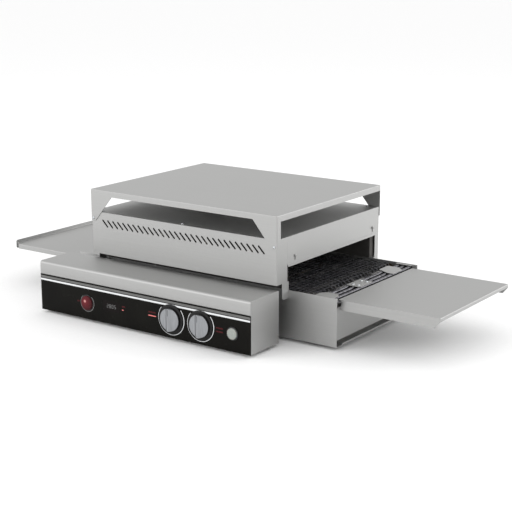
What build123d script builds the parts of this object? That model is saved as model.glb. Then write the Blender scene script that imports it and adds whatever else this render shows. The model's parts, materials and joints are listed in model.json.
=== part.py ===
from build123d import *
import math
import os

# Conveyor pizza oven, in millimetres.
# +X runs along the conveyor, +Y points to the back and +Z points up.
# The origin is on the ground, under the middle of the whole oven.

# ---------------------------------------------------------------- sheet and rods
SHEET = 1.5
THIN_SHEET = 1.0
GAP = 0.3                       # clearance between pieces that move past each other
RUNNING_FIT = 0.05              # radial clearance of a shaft in its bearing

# ---------------------------------------------------------------- base under the belt
FOOT_HEIGHT = 8.0
FOOT_RADIUS = 15.0
FOOT_STEM_RADIUS = 4.0
BASE_FOOT_X = 330.0
FOOT_INSET = 55.0
BASE_HALF_LENGTH = 419.0
BASE_FRONT = -129.0
BASE_BACK = 276.0
BASE_BOTTOM = FOOT_HEIGHT
BASE_TOP = 132.0
BASE_FLOOR = BASE_BOTTOM + SHEET
BASE_INNER_FRONT = BASE_FRONT + SHEET
BASE_INNER_BACK = BASE_BACK - SHEET
BASE_MIDDLE = (BASE_FRONT + BASE_BACK) / 2
WALL_HEM = 8.0
END_PANEL_BOTTOM = 27.0
END_PANEL_TOP = 110.0

# ---------------------------------------------------------------- belt and its shafts
BELT_THICKNESS = 3.5
BELT_TOP = 131.5
BELT_BOTTOM = 84.0
BELT_HALF_WIDTH = 190.0
BELT_OUTER_RADIUS = (BELT_TOP - BELT_BOTTOM) / 2
BELT_INNER_RADIUS = BELT_OUTER_RADIUS - BELT_THICKNESS
SHAFT_HEIGHT = (BELT_TOP + BELT_BOTTOM) / 2
SHAFT_X = 334.0
SHAFT_RADIUS = 8.0
BUSH_RADIUS = 16.0
BUSH_LENGTH = 8.0
BELT_SPROCKET_TEETH = 12
BELT_SPROCKET_WIDTH = 8.0
BELT_SPROCKET_COUNT = 5
SUPPORT_BAR_COUNT = 4
SUPPORT_BAR_HALF_LENGTH = 300.0
SUPPORT_BAR_THICKNESS = 3.0
CROSS_BAR_TOP = 119.0
CROSS_BAR_HEIGHT = 10.0
CROSS_BAR_PLACES = (-285.0, -125.0, 45.0, 215.0, 290.0)
RETURN_ROD_RADIUS = 3.5
RETURN_ROD_PLACES = (-200.0, 0.0, 200.0)

# ---------------------------------------------------------------- transfer grids at the belt's ends
NOSE_ROD_RADIUS = 4.0
NOSE_ROD_PLACES = (369.0, 385.0, 401.0)
NOSE_ROD_HEIGHT = 125.0
HOOK_ROD_RADIUS = 3.0
HOOK_ROD_X = 413.2
HOOK_ROD_HEIGHT = 121.2
NOSE_PLATE_WIDTH = 42.0
NOSE_PLATE_START = 352.0
NOSE_PLATE_END = 405.0
NOSE_PLATE_CORNER = 14.0
NOSE_LEG_LENGTH = 45.0
SPREADER_FRONT = 165.0          # the loose plate that rests on the rods near the back
SPREADER_BACK = 230.0
SPREADER_CORNER = 18.0
CLIP_MIDDLE = 35.0
CLIP_HALF_WIDTH = 32.0
CLIP_SCREW_SPREAD = 20.0
CLIP_SCREW_RADIUS = 2.5

# ---------------------------------------------------------------- trays
TRAY_END = 687.5
TRAY_FRONT = -112.0
TRAY_BACK = 259.0
TRAY_TOP = 126.0
TRAY_FLANGE_BOTTOM = 100.0
TRAY_FAR_FLANGE = 9.0
LOW_TRAY_TOP = 114.0
LOW_TRAY_LIP_TOP = 124.0
CORNER_NOTCH = 9.0
CRUMB_TRAY_TOP = 24.0
CRUMB_LIP_TOP = 16.0
CRUMB_LIP_REACH = 3.0
CRUMB_LIP_INSET = 24.0

# ---------------------------------------------------------------- hood over the belt
HOOD_LEFT = -321.5
HOOD_RIGHT = 278.5
HOOD_FRONT = -181.0
HOOD_BACK = 310.0
HOOD_TOP = 268.0
HOOD_SKIRT = 154.0
HOOD_MIDDLE = (HOOD_LEFT + HOOD_RIGHT) / 2
FRONT_RETURN = -135.0           # where the front cover's side returns end
BACK_RETURN = 282.0             # where the rear cover's side returns end, beside the side panel
MOUTH_BACK = 290.0              # where they end below it, at the mouth
FINGER_FRONT = -157.0
FINGER_BOTTOM = 112.0
FINGER_ROUND = 9.0
FINGER_TAB = 14.0
MOUTH_TOP = 192.0
MOUTH_ROUND = 10.0
MOUTH_HEM = 7.0
LINER_INSET = 5.0
LINER_TOP = 243.0
VENT_COUNT = 30
VENT_PITCH = 17.5
VENT_LENGTH = 27.0
VENT_WIDTH = 4.6
VENT_HEIGHT = 238.3
VENT_LEAN = 45.0
INSULATION = 19.0
INSULATION_LIFT = 18.0          # height of the back board's lower edge above the base
HOOD_TOP_FLANGE = 13.0

# ---------------------------------------------------------------- mouth baffles
BAFFLE_TRAVEL = 9.0
BAFFLE_BOTTOM = 194.0
BAFFLE_TOP = 254.0
BAFFLE_SLOT_HEIGHT = 211.0      # middle of the slot in the side panel
BAFFLE_STUD_RADIUS = 2.0
BAFFLE_SLOT_RADIUS = 2.5
BAFFLE_NUT_RADIUS = 3.6
BAFFLE_FRONT_STUD = 33.0        # from the front seam
BAFFLE_BACK_STUD = 7.0          # from the rear seam

# ---------------------------------------------------------------- shelf on top
SHELF_TOP = 328.0
SHELF_FLANGE = 16.0
LEG_BOTTOM = 243.0
LEG_RETURN = 16.0                # side return of each front leg
WEB_TOP_WIDTH = 73.0
WEB_MIDDLE_WIDTH = 40.0
WEB_MIDDLE_HEIGHT = 273.0
WEB_BOTTOM_WIDTH = 15.0

# ---------------------------------------------------------------- heating tubes
TUBE_RADIUS = 4.0
TUBE_HALF_SPAN = 28.0
TUBE_TERMINAL_Y = -154.0
TUBE_BEND_START = 208.0
LOWER_TUBE_PLACES = (-210.0, -40.0, 130.0)
UPPER_TUBE_HEIGHT = 215.0
UPPER_TUBE_PLACES = (-231.5, -91.5, 48.5, 188.5)
GLAND_HOLE_RADIUS = 6.0
GLAND_FLANGE_RADIUS = 8.5
GLAND_FLANGE = 6.0
REFLECTOR_HEIGHT = 228.0
REFLECTOR_END_INSET = 22.0
REFLECTOR_SIDE_INSET = 10.0

# ---------------------------------------------------------------- control console
CONSOLE_LEFT = -407.0
CONSOLE_RIGHT = 282.0
CONSOLE_FRONT = -296.0
CONSOLE_BACK = -177.0
CONSOLE_BOTTOM = 8.0
CONSOLE_TOP = 142.0
CONSOLE_FOLD = 7.0
PANEL_TOP = 106.0
PANEL_THICKNESS = 3.0
PANEL_BACK = CONSOLE_FRONT + PANEL_THICKNESS
STRIP_BOTTOM = 88.0
STRIP_THICKNESS = 1.2
DUCT_LEFT = -262.0
DUCT_RIGHT = 182.0
DUCT_BOTTOM = 90.0
DUCT_TOP = 126.0

# ---------------------------------------------------------------- controls on the panel
DIAL_HEIGHT = 57.0
TEMP_DIAL_X = 40.5
SPEED_DIAL_X = 132.5
DIAL_RADIUS = 38.5
DIAL_SKIRT = 2.5
DIAL_BODY_RADIUS = 30.0
DIAL_BODY_DEPTH = 3.5
GRIP_RADIUS = 29.0
GRIP_RIM = 2.0
GRIP_RIDGE_BASE = 22.0
GRIP_RIDGE_TOP = 5.0
GRIP_DEPTH = 8.0
SPINDLE_RADIUS = 3.0
SPINDLE_HOLE_RADIUS = 5.0
RING_RADIUS = 41.5
RING_WIDTH = 2.2
RING_OPENING = 96.0             # degrees left open at the top of each dial ring
POWER_BUTTON_X = -240.5
POWER_BUTTON_HEIGHT = 52.0
POWER_BUTTON_RADIUS = 19.0
START_BUTTON_X = 229.5
START_BUTTON_HEIGHT = 54.0
START_BUTTON_RADIUS = 14.0
BUTTON_RING_WIDTH = 3.0
BUTTON_BARREL = 30.0
BUTTON_TRAVEL = 3.0
DISPLAY_LEFT = -187.0
DISPLAY_RIGHT = -129.0
DISPLAY_BOTTOM = 42.0
DISPLAY_TOP = 70.0

# ---------------------------------------------------------------- drive in the console
CHAIN_PITCH = 9.525
CHAIN_ROLLER_RADIUS = 3.175
CHAIN_PLATE_HALF_HEIGHT = 4.1
CHAIN_PLATE = 1.1
SHAFT_CHAIN_TEETH = 15
MOTOR_CHAIN_TEETH = 10
CHAIN_TOOTH_WIDTH = 5.0
CHAIN_Y = -199.5                # middle plane of the chain
MOTOR_X = -250.0
MOTOR_HEIGHT = 60.0
MOTOR_SHAFT_RADIUS = 5.0
GEARBOX_HALF = 30.0
GEARBOX_FRONT = -254.0
GEARBOX_BACK = -212.0
GEARBOX_BOSS_RADIUS = 11.0
GEARBOX_FOOT = 3.0
GEARBOX_POST_SPREAD = 20.0
GEARBOX_POST_HALF = (5.0, 12.0)
MOTOR_RADIUS = 20.0
MOTOR_LENGTH = 90.0

# ---------------------------------------------------------------- cooling fan and wiring parts
FAN_X = -75.0
FAN_Y = -236.0
FAN_HALF = 40.0
FAN_DEPTH = 25.0
FAN_BLADE_RADIUS = 35.0
FAN_HUB_RADIUS = 15.0
FAN_BLADES = 7
TERMINAL_LEFT = -380.0
TERMINAL_RIGHT = -320.0
TERMINAL_DEPTH = 24.0
TERMINAL_HEIGHT = 18.0
TERMINAL_COUNT = 5
TERMINAL_PITCH = 11.0
TERMINAL_WELL_RADIUS = 3.0
CONTACTOR_LEFT = -20.0
CONTACTOR_RIGHT = 25.0
CONTACTOR_BOTTOM = 20.0
CONTACTOR_TOP = 88.0
CONTACTOR_DEPTH = 44.0
CONTACTOR_SHOULDER = 14.0
CONTACTOR_SHOULDER_INSET = 16.0
CABLE_RADIUS = 5.0
CABLE_GLAND_Y = -236.0
CABLE_GLAND_HEIGHT = 32.0

# ---------------------------------------------------------------- screws
SCREW_HEAD_RADIUS = 3.6
SCREW_HEAD = 2.2
LEG_SCREW_INSET = 7.0
LEG_SCREW_HEIGHT = 250.0
TOP_SCREW_INSET = (30.0, 12.0)
TAB_SCREW_INSET = 9.0
TAB_SCREW_HEIGHT = 121.0
CONSOLE_SCREW_INSET = (20.0, 16.0)


# ================================================================ building blocks
def slab(x0, x1, y0, y1, z0, z1):
    """A rectangular block between two corners."""
    middle = Pos((x0 + x1) / 2, (y0 + y1) / 2, (z0 + z1) / 2)
    return middle * Box(x1 - x0, y1 - y0, z1 - z0)


def rod_x(x0, x1, y, z, radius):
    """A round bar along X."""
    return Pos((x0 + x1) / 2, y, z) * Rot(0, 90, 0) * Cylinder(radius, x1 - x0)


def rod_y(x, y0, y1, z, radius):
    """A round bar along Y."""
    return Pos(x, (y0 + y1) / 2, z) * Rot(90, 0, 0) * Cylinder(radius, y1 - y0)


def rod_z(x, y, z0, z1, radius):
    """A round bar along Z."""
    return Pos(x, y, (z0 + z1) / 2) * Cylinder(radius, z1 - z0)


def face_plane(y):
    """A drawing plane facing the front: its own x is +X and its own y is +Z."""
    return Plane(origin=(0, y, 0), x_dir=(1, 0, 0), z_dir=(0, -1, 0))


def end_plane(x):
    """A drawing plane facing the right end: its own x is +Y and its own y is +Z."""
    return Plane(origin=(x, 0, 0), x_dir=(0, 1, 0), z_dir=(1, 0, 0))


def cut_from_front(sketch, y0, y1):
    """Extrudes a front-facing outline (x, z) from y0 back to y1."""
    return extrude(face_plane(y0) * sketch, amount=-(y1 - y0))


def cut_from_end(sketch, x0, x1):
    """Extrudes an end-facing outline (y, z) from x0 to x1."""
    return extrude(end_plane(x0) * sketch, amount=x1 - x0)


def outline(*points):
    """A closed flat outline through the given corners."""
    return make_face(Polyline(*points, close=True))


def fused(pieces):
    """One solid out of touching pieces."""
    first, *others = pieces
    return first.fuse(*others).clean() if others else first


def mirrored_pair(shape):
    """The shape at the right end and its mirror image at the left end."""
    return [shape, mirror(shape, about=Plane.YZ)]


# ================================================================ base
def base_pan():
    length = BASE_HALF_LENGTH
    floor = slab(-length, length, BASE_FRONT, BASE_BACK, BASE_BOTTOM, BASE_FLOOR)
    front = slab(-length, length, BASE_FRONT, BASE_INNER_FRONT, BASE_BOTTOM, BASE_TOP)
    back = slab(-length, length, BASE_INNER_BACK, BASE_BACK, BASE_BOTTOM, BASE_TOP)
    front_hem = slab(-length, length, BASE_INNER_FRONT, BASE_INNER_FRONT + SHEET,
                     BASE_TOP - WALL_HEM, BASE_TOP)
    back_hem = slab(-length, length, BASE_INNER_BACK - SHEET, BASE_INNER_BACK,
                    BASE_TOP - WALL_HEM, BASE_TOP)
    pan = fused([floor, front, back, front_hem, back_hem])
    holes = [rod_z(x, y, BASE_BOTTOM - 1, BASE_FLOOR + 1, FOOT_STEM_RADIUS)
             for x, y in base_foot_places()]
    holes.append(rod_y(-SHAFT_X, BASE_FRONT - 1, BASE_INNER_FRONT + 1, SHAFT_HEIGHT, SHAFT_RADIUS + 2))
    for x in tube_leg_places(LOWER_TUBE_PLACES):
        holes.append(rod_y(x, BASE_FRONT - 1, BASE_INNER_FRONT + 1, SHAFT_HEIGHT, GLAND_HOLE_RADIUS))
    return pan - holes


def base_foot_places():
    rows = (BASE_FRONT + FOOT_INSET, BASE_BACK - FOOT_INSET)
    return [(x, y) for x in (-BASE_FOOT_X, BASE_FOOT_X) for y in rows]


def console_foot_places():
    middle = (CONSOLE_FRONT + CONSOLE_BACK) / 2
    return [(x, middle) for x in (CONSOLE_LEFT + FOOT_INSET, CONSOLE_RIGHT - FOOT_INSET)]


def feet():
    pieces = []
    for x, y in base_foot_places() + console_foot_places():
        pad = Pos(x, y, FOOT_HEIGHT / 2) * Cone(FOOT_RADIUS - 2, FOOT_RADIUS, FOOT_HEIGHT)
        stem = rod_z(x, y, FOOT_HEIGHT, BASE_FLOOR, FOOT_STEM_RADIUS)
        pieces.append(pad + stem)
    return Compound(children=pieces)


def right_end_panel():
    x = BASE_HALF_LENGTH
    panel = slab(x - SHEET, x, BASE_INNER_FRONT, BASE_INNER_BACK, END_PANEL_BOTTOM, END_PANEL_TOP)
    tabs = [slab(x - 16, x - SHEET, BASE_INNER_FRONT, BASE_INNER_FRONT + SHEET,
                 END_PANEL_BOTTOM, END_PANEL_TOP - 12),
            slab(x - 16, x - SHEET, BASE_INNER_BACK - SHEET, BASE_INNER_BACK,
                 END_PANEL_BOTTOM, END_PANEL_TOP - 12)]
    return fused([panel] + tabs)


def left_end_panel():
    return mirror(right_end_panel(), about=Plane.YZ)


def conveyor_belt():
    outer = SlotCenterToCenter(2 * SHAFT_X, 2 * BELT_OUTER_RADIUS)
    inner = SlotCenterToCenter(2 * SHAFT_X, 2 * BELT_INNER_RADIUS)
    loop = Pos(0, SHAFT_HEIGHT) * (outer - inner)
    return cut_from_front(loop, BASE_MIDDLE - BELT_HALF_WIDTH, BASE_MIDDLE + BELT_HALF_WIDTH)


def support_bar_places():
    spacing = 2 * BELT_HALF_WIDTH / SUPPORT_BAR_COUNT
    first = BASE_MIDDLE - BELT_HALF_WIDTH + spacing / 2
    return [first + i * spacing for i in range(SUPPORT_BAR_COUNT)]


def belt_support_bars():
    top = BELT_TOP - BELT_THICKNESS - GAP
    half = SUPPORT_BAR_THICKNESS / 2
    bars = [slab(-SUPPORT_BAR_HALF_LENGTH, SUPPORT_BAR_HALF_LENGTH, y - half, y + half, CROSS_BAR_TOP, top)
            for y in support_bar_places()]
    return Compound(children=bars)


def belt_cross_bars():
    half = SUPPORT_BAR_THICKNESS / 2
    bars = [slab(x - half, x + half, BASE_INNER_FRONT, BASE_INNER_BACK,
                 CROSS_BAR_TOP - CROSS_BAR_HEIGHT, CROSS_BAR_TOP) for x in CROSS_BAR_PLACES]
    height = BELT_BOTTOM - GAP - RETURN_ROD_RADIUS
    bars += [rod_y(x, BASE_INNER_FRONT, BASE_INNER_BACK, height, RETURN_ROD_RADIUS)
             for x in RETURN_ROD_PLACES]
    return Compound(children=bars)


def shaft_bushes():
    front_face = BASE_INNER_FRONT
    back_face = BASE_INNER_BACK
    pieces = []
    for x in (-SHAFT_X, SHAFT_X):
        bore = rod_y(x, BASE_FRONT - 1, BASE_BACK + 1, SHAFT_HEIGHT, SHAFT_RADIUS + RUNNING_FIT)
        front = rod_y(x, front_face, front_face + BUSH_LENGTH, SHAFT_HEIGHT, BUSH_RADIUS)
        if x < 0:
            front += rod_y(x, BASE_FRONT, front_face, SHAFT_HEIGHT, SHAFT_RADIUS + 2)
        back = rod_y(x, back_face - BUSH_LENGTH, back_face, SHAFT_HEIGHT, BUSH_RADIUS)
        pieces += [front - bore, back - bore]
    return Compound(children=pieces)


def belt_sprocket(x, y):
    blank = Circle(BELT_INNER_RADIUS - GAP)
    step = 360 / BELT_SPROCKET_TEETH
    notches = [Rot(0, 0, i * step) * Pos(BELT_INNER_RADIUS, 0) * Circle(2.6)
               for i in range(BELT_SPROCKET_TEETH)]
    profile = Pos(x, SHAFT_HEIGHT) * (blank - notches - Circle(SHAFT_RADIUS))
    return cut_from_front(profile, y - BELT_SPROCKET_WIDTH / 2, y + BELT_SPROCKET_WIDTH / 2)


def belt_sprocket_set(x):
    spacing = 2 * (BELT_HALF_WIDTH - 20) / (BELT_SPROCKET_COUNT - 1)
    first = BASE_MIDDLE - BELT_HALF_WIDTH + 20
    return Compound(children=[belt_sprocket(x, first + i * spacing) for i in range(BELT_SPROCKET_COUNT)])


def drive_sprockets():
    return belt_sprocket_set(-SHAFT_X)


def idler_sprockets():
    return belt_sprocket_set(SHAFT_X)


def drive_shaft():
    return rod_y(-SHAFT_X, CHAIN_Y - 8, BASE_INNER_BACK - 2, SHAFT_HEIGHT, SHAFT_RADIUS)


def idler_shaft():
    return rod_y(SHAFT_X, BASE_INNER_FRONT + 1, BASE_INNER_BACK - 1, SHAFT_HEIGHT, SHAFT_RADIUS)


# ================================================================ transfer grids and trays
def nose_bracket():
    """The plate beside the belt's end and the leg that holds the rods, at the right front."""
    plate_top = BELT_TOP - 0.5
    front = BASE_INNER_FRONT + SHEET
    plate = outline((NOSE_PLATE_START, front), (NOSE_PLATE_END, front),
                    (NOSE_PLATE_END, front + NOSE_PLATE_WIDTH - NOSE_PLATE_CORNER),
                    (NOSE_PLATE_END - NOSE_PLATE_CORNER, front + NOSE_PLATE_WIDTH),
                    (NOSE_PLATE_START + NOSE_PLATE_CORNER, front + NOSE_PLATE_WIDTH),
                    (NOSE_PLATE_START, front + NOSE_PLATE_WIDTH - NOSE_PLATE_CORNER))
    leg = slab(NOSE_PLATE_END - NOSE_LEG_LENGTH, BASE_HALF_LENGTH - 2, front, front + SHEET,
               END_PANEL_TOP, plate_top)
    return fused([Pos(0, 0, plate_top - SHEET) * extrude(plate, amount=SHEET), leg])


def rear_nose_bracket():
    """The leg behind the belt's end, with a narrow foot for the rods' ends, at the right."""
    plate_top = BELT_TOP - 0.5
    back = BASE_INNER_BACK - SHEET
    start = NOSE_PLATE_END - NOSE_LEG_LENGTH
    leg = slab(start, BASE_HALF_LENGTH - 2, back - SHEET, back, END_PANEL_TOP, plate_top)
    foot = slab(start, NOSE_PLATE_END, back - 10, back, plate_top - SHEET, plate_top)
    return fused([leg, foot])


def nose_spreader():
    """The plate that lies on the rods near the back and keeps them level, at the right."""
    bottom = NOSE_ROD_HEIGHT + NOSE_ROD_RADIUS
    start, end = NOSE_PLATE_START + 3, NOSE_PLATE_END + 2
    plate = outline((start, SPREADER_FRONT + SPREADER_CORNER), (end - SPREADER_CORNER, SPREADER_FRONT),
                    (end, SPREADER_FRONT), (end, SPREADER_BACK - SPREADER_CORNER),
                    (end - SPREADER_CORNER, SPREADER_BACK), (start, SPREADER_BACK))
    return Pos(0, 0, bottom) * extrude(plate, amount=SHEET)


def nose_brackets():
    pieces = [nose_bracket(), rear_nose_bracket(), nose_spreader()]
    return Compound(children=[side for piece in pieces for side in mirrored_pair(piece)])


def nose_rods():
    front = BASE_INNER_FRONT + 2 * SHEET
    back = BASE_INNER_BACK - 2 * SHEET
    rods = [rod_y(x, front, back, NOSE_ROD_HEIGHT, NOSE_ROD_RADIUS) for x in NOSE_ROD_PLACES]
    rods.append(rod_y(HOOK_ROD_X, front, back, HOOK_ROD_HEIGHT, HOOK_ROD_RADIUS))
    return Compound(children=[piece for rod in rods for piece in mirrored_pair(rod)])


def nose_clips():
    """The clamp that ties the three rods together: two plates and four screws."""
    start, end = NOSE_ROD_PLACES[0] - 5, NOSE_ROD_PLACES[-1] + 3.5
    front, back = CLIP_MIDDLE - CLIP_HALF_WIDTH, CLIP_MIDDLE + CLIP_HALF_WIDTH
    top = NOSE_ROD_HEIGHT + NOSE_ROD_RADIUS
    bottom = NOSE_ROD_HEIGHT - NOSE_ROD_RADIUS
    head_bottom = top + SHEET
    pieces = [slab(start, end, front, back, top, head_bottom),
              slab(start, end, front, back, bottom - SHEET, bottom)]
    for left, right in zip(NOSE_ROD_PLACES, NOSE_ROD_PLACES[1:]):
        x = (left + right) / 2
        for y in (CLIP_MIDDLE - CLIP_SCREW_SPREAD, CLIP_MIDDLE + CLIP_SCREW_SPREAD):
            pieces.append(rod_z(x, y, bottom, top, CLIP_SCREW_RADIUS))
            pieces.append(rod_z(x, y, head_bottom, head_bottom + SCREW_HEAD, SCREW_HEAD_RADIUS))
    return Compound(children=mirrored_pair(fused(pieces)))


def tray_hook():
    """The tray's near edge, curled over the hook rod: an arc of sheet seen from the front."""
    inner = HOOK_ROD_RADIUS + GAP
    outer = inner + SHEET
    ring = Circle(outer) - Circle(inner)
    kept = outline((-outer - 1, outer + 1), (0, outer + 1), (0, -outer - 1), (-outer - 1, -outer - 1))
    return Pos(HOOK_ROD_X, HOOK_ROD_HEIGHT) * (ring & kept)


def right_tray():
    flange_start = BASE_HALF_LENGTH + GAP
    hook = cut_from_front(tray_hook(), TRAY_FRONT, TRAY_BACK)
    top = slab(HOOK_ROD_X, TRAY_END, TRAY_FRONT, TRAY_BACK, TRAY_TOP - SHEET, TRAY_TOP)
    flange = outline((flange_start, TRAY_TOP), (TRAY_END, TRAY_TOP),
                     (TRAY_END, TRAY_TOP - TRAY_FAR_FLANGE), (TRAY_END - 14, TRAY_FLANGE_BOTTOM),
                     (flange_start, TRAY_FLANGE_BOTTOM))
    front = cut_from_front(flange, TRAY_FRONT, TRAY_FRONT + SHEET)
    back = cut_from_front(flange, TRAY_BACK - SHEET, TRAY_BACK)
    far = slab(TRAY_END - SHEET, TRAY_END, TRAY_FRONT, TRAY_BACK, TRAY_TOP - TRAY_FAR_FLANGE, TRAY_TOP)
    return fused([top, hook, front, back, far])


def left_tray():
    """Built at the right end and mirrored: a lower floor with an upright lip at its outer end."""
    near = BASE_HALF_LENGTH + GAP
    hook = cut_from_front(tray_hook(), TRAY_FRONT, TRAY_BACK)
    step_top = slab(HOOK_ROD_X, near + SHEET, TRAY_FRONT, TRAY_BACK, TRAY_TOP - SHEET, TRAY_TOP)
    step = slab(near, near + SHEET, TRAY_FRONT, TRAY_BACK, LOW_TRAY_TOP - SHEET, TRAY_TOP)
    floor = slab(near, TRAY_END, TRAY_FRONT, TRAY_BACK, LOW_TRAY_TOP - SHEET, LOW_TRAY_TOP)
    front = slab(near, TRAY_END - CORNER_NOTCH, TRAY_FRONT, TRAY_FRONT + SHEET,
                 TRAY_FLANGE_BOTTOM, LOW_TRAY_TOP)
    back = slab(near, TRAY_END - CORNER_NOTCH, TRAY_BACK - SHEET, TRAY_BACK,
                TRAY_FLANGE_BOTTOM, LOW_TRAY_TOP)
    lip_sketch = Pos(BASE_MIDDLE, (TRAY_FLANGE_BOTTOM + LOW_TRAY_LIP_TOP) / 2) * RectangleRounded(
        TRAY_BACK - TRAY_FRONT, LOW_TRAY_LIP_TOP - TRAY_FLANGE_BOTTOM, 5)
    lip = cut_from_end(lip_sketch, TRAY_END - SHEET, TRAY_END)
    notches = [slab(TRAY_END - CORNER_NOTCH, TRAY_END - SHEET, y0, y1, LOW_TRAY_TOP - 2 * SHEET,
                    LOW_TRAY_TOP + SHEET)
               for y0, y1 in ((TRAY_FRONT - 1, TRAY_FRONT + 4), (TRAY_BACK - 4, TRAY_BACK + 1))]
    tray = fused([floor, step, step_top, hook, front, back, lip]) - notches
    return mirror(tray, about=Plane.YZ)


def crumb_tray():
    bottom = BASE_FLOOR + GAP
    left, right = -BASE_HALF_LENGTH + 5, BASE_HALF_LENGTH - 9
    front, back = BASE_INNER_FRONT + 3, BASE_INNER_BACK - 3
    reach = BASE_HALF_LENGTH + CRUMB_LIP_REACH
    lip_front, lip_back = BASE_FRONT + CRUMB_LIP_INSET, BASE_BACK - CRUMB_LIP_INSET
    return fused([
        slab(left, right, front, back, bottom, bottom + THIN_SHEET),
        slab(left, right, front, front + THIN_SHEET, bottom, CRUMB_TRAY_TOP),
        slab(left, right, back - THIN_SHEET, back, bottom, CRUMB_TRAY_TOP),
        slab(left, left + THIN_SHEET, front, back, bottom, CRUMB_TRAY_TOP),
        slab(right, reach, lip_front, lip_back, bottom, bottom + THIN_SHEET),
        slab(reach - THIN_SHEET, reach, lip_front, lip_back, bottom, CRUMB_LIP_TOP)])


# ================================================================ heating tubes
def tube_leg_places(places):
    return [x + side * TUBE_HALF_SPAN for x in places for side in (-1, 1)]


def hairpin_tube(x, height):
    """A U-shaped heating tube with both ends at the front."""
    path = Plane(origin=(x, 0, height)) * Polyline(
        (-TUBE_HALF_SPAN, TUBE_TERMINAL_Y), (-TUBE_HALF_SPAN, TUBE_BEND_START))
    bend = Plane(origin=(x, 0, height)) * CenterArc((0, TUBE_BEND_START), TUBE_HALF_SPAN, 180, -180)
    legs = [rod_y(x + side * TUBE_HALF_SPAN, TUBE_TERMINAL_Y, TUBE_BEND_START, height, TUBE_RADIUS)
            for side in (-1, 1)]
    start = Plane(origin=path @ 1, x_dir=(1, 0, 0), z_dir=(0, 1, 0))
    return fused([sweep(start * Circle(TUBE_RADIUS), path=bend)] + legs)


def lower_heating_tubes():
    return Compound(children=[hairpin_tube(x, SHAFT_HEIGHT) for x in LOWER_TUBE_PLACES])


def upper_heating_tubes():
    return Compound(children=[hairpin_tube(x, UPPER_TUBE_HEIGHT) for x in UPPER_TUBE_PLACES])


def tube_gland(x, height, wall_front, wall_back):
    """A ceramic bush in the wall, with its flange on the wall's outer face."""
    body = rod_y(x, wall_front, wall_back, height, GLAND_HOLE_RADIUS)
    flange = rod_y(x, wall_front - GLAND_FLANGE, wall_front, height, GLAND_FLANGE_RADIUS)
    bore = rod_y(x, wall_front - GLAND_FLANGE - 1, wall_back + 1, height, TUBE_RADIUS + 0.1)
    return body + flange - bore


def tube_glands():
    lower = [tube_gland(x, SHAFT_HEIGHT, BASE_FRONT, BASE_INNER_FRONT)
             for x in tube_leg_places(LOWER_TUBE_PLACES)]
    upper = [tube_gland(x, UPPER_TUBE_HEIGHT, liner_front(), liner_front() + SHEET)
             for x in tube_leg_places(UPPER_TUBE_PLACES)]
    return Compound(children=lower + upper)


def wire_duct():
    """The duct that crosses the air gap, joins the console to the base and covers the tube ends."""
    outer = slab(DUCT_LEFT, DUCT_RIGHT, CONSOLE_BACK, BASE_FRONT, DUCT_BOTTOM, DUCT_TOP)
    inner = slab(DUCT_LEFT + SHEET, DUCT_RIGHT - SHEET, CONSOLE_BACK - 1, BASE_FRONT + 1,
                 DUCT_BOTTOM + SHEET, DUCT_TOP - SHEET)
    return outer - inner


# ================================================================ hood
def liner_front():
    return BASE_FRONT + 2 * SHEET


def liner_back():
    return BASE_BACK - 2 * SHEET


def chamber_liner():
    left, right = HOOD_LEFT + LINER_INSET, HOOD_RIGHT - LINER_INSET
    front, back = liner_front(), liner_back()
    rear_flange = HOOD_BACK - SHEET - GAP
    shell = fused([
        slab(left, right, front, front + SHEET, BASE_TOP, LINER_TOP),
        slab(left, right, back - SHEET, back, BASE_TOP, LINER_TOP),
        slab(left, right, front, back, LINER_TOP - SHEET, LINER_TOP),
        slab(left, left + SHEET, back - SHEET, rear_flange, BASE_TOP, LINER_TOP),
        slab(right - SHEET, right, back - SHEET, rear_flange, BASE_TOP, LINER_TOP)])
    holes = [rod_y(x, front - 1, front + SHEET + 1, UPPER_TUBE_HEIGHT, GLAND_HOLE_RADIUS)
             for x in tube_leg_places(UPPER_TUBE_PLACES)]
    return shell - holes


def reflector():
    left, right = HOOD_LEFT + REFLECTOR_END_INSET, HOOD_RIGHT - REFLECTOR_END_INSET
    front, back = liner_front() + REFLECTOR_SIDE_INSET, liner_back() - REFLECTOR_SIDE_INSET
    top = LINER_TOP - SHEET
    return fused([
        slab(left, right, front, back, REFLECTOR_HEIGHT, REFLECTOR_HEIGHT + THIN_SHEET),
        slab(left, right, front, front + THIN_SHEET, REFLECTOR_HEIGHT, top),
        slab(left, right, back - THIN_SHEET, back, REFLECTOR_HEIGHT, top)])


def insulation():
    left, right = HOOD_LEFT + LINER_INSET + SHEET, HOOD_RIGHT - LINER_INSET - SHEET
    top = slab(left, right, liner_front(), liner_back(), LINER_TOP, LINER_TOP + INSULATION)
    back = slab(left, right, liner_back(), liner_back() + INSULATION, BASE_TOP + INSULATION_LIFT, LINER_TOP)
    return Compound(children=[top, back])


def vent_slots(y0, y1):
    """The row of leaning slots along the top of a cover."""
    first = HOOD_MIDDLE - (VENT_COUNT - 1) * VENT_PITCH / 2
    slot = Rot(0, 0, -VENT_LEAN) * SlotOverall(VENT_LENGTH, VENT_WIDTH)
    return [cut_from_front(Pos(first + i * VENT_PITCH, VENT_HEIGHT) * slot, y0, y1)
            for i in range(VENT_COUNT)]


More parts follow.
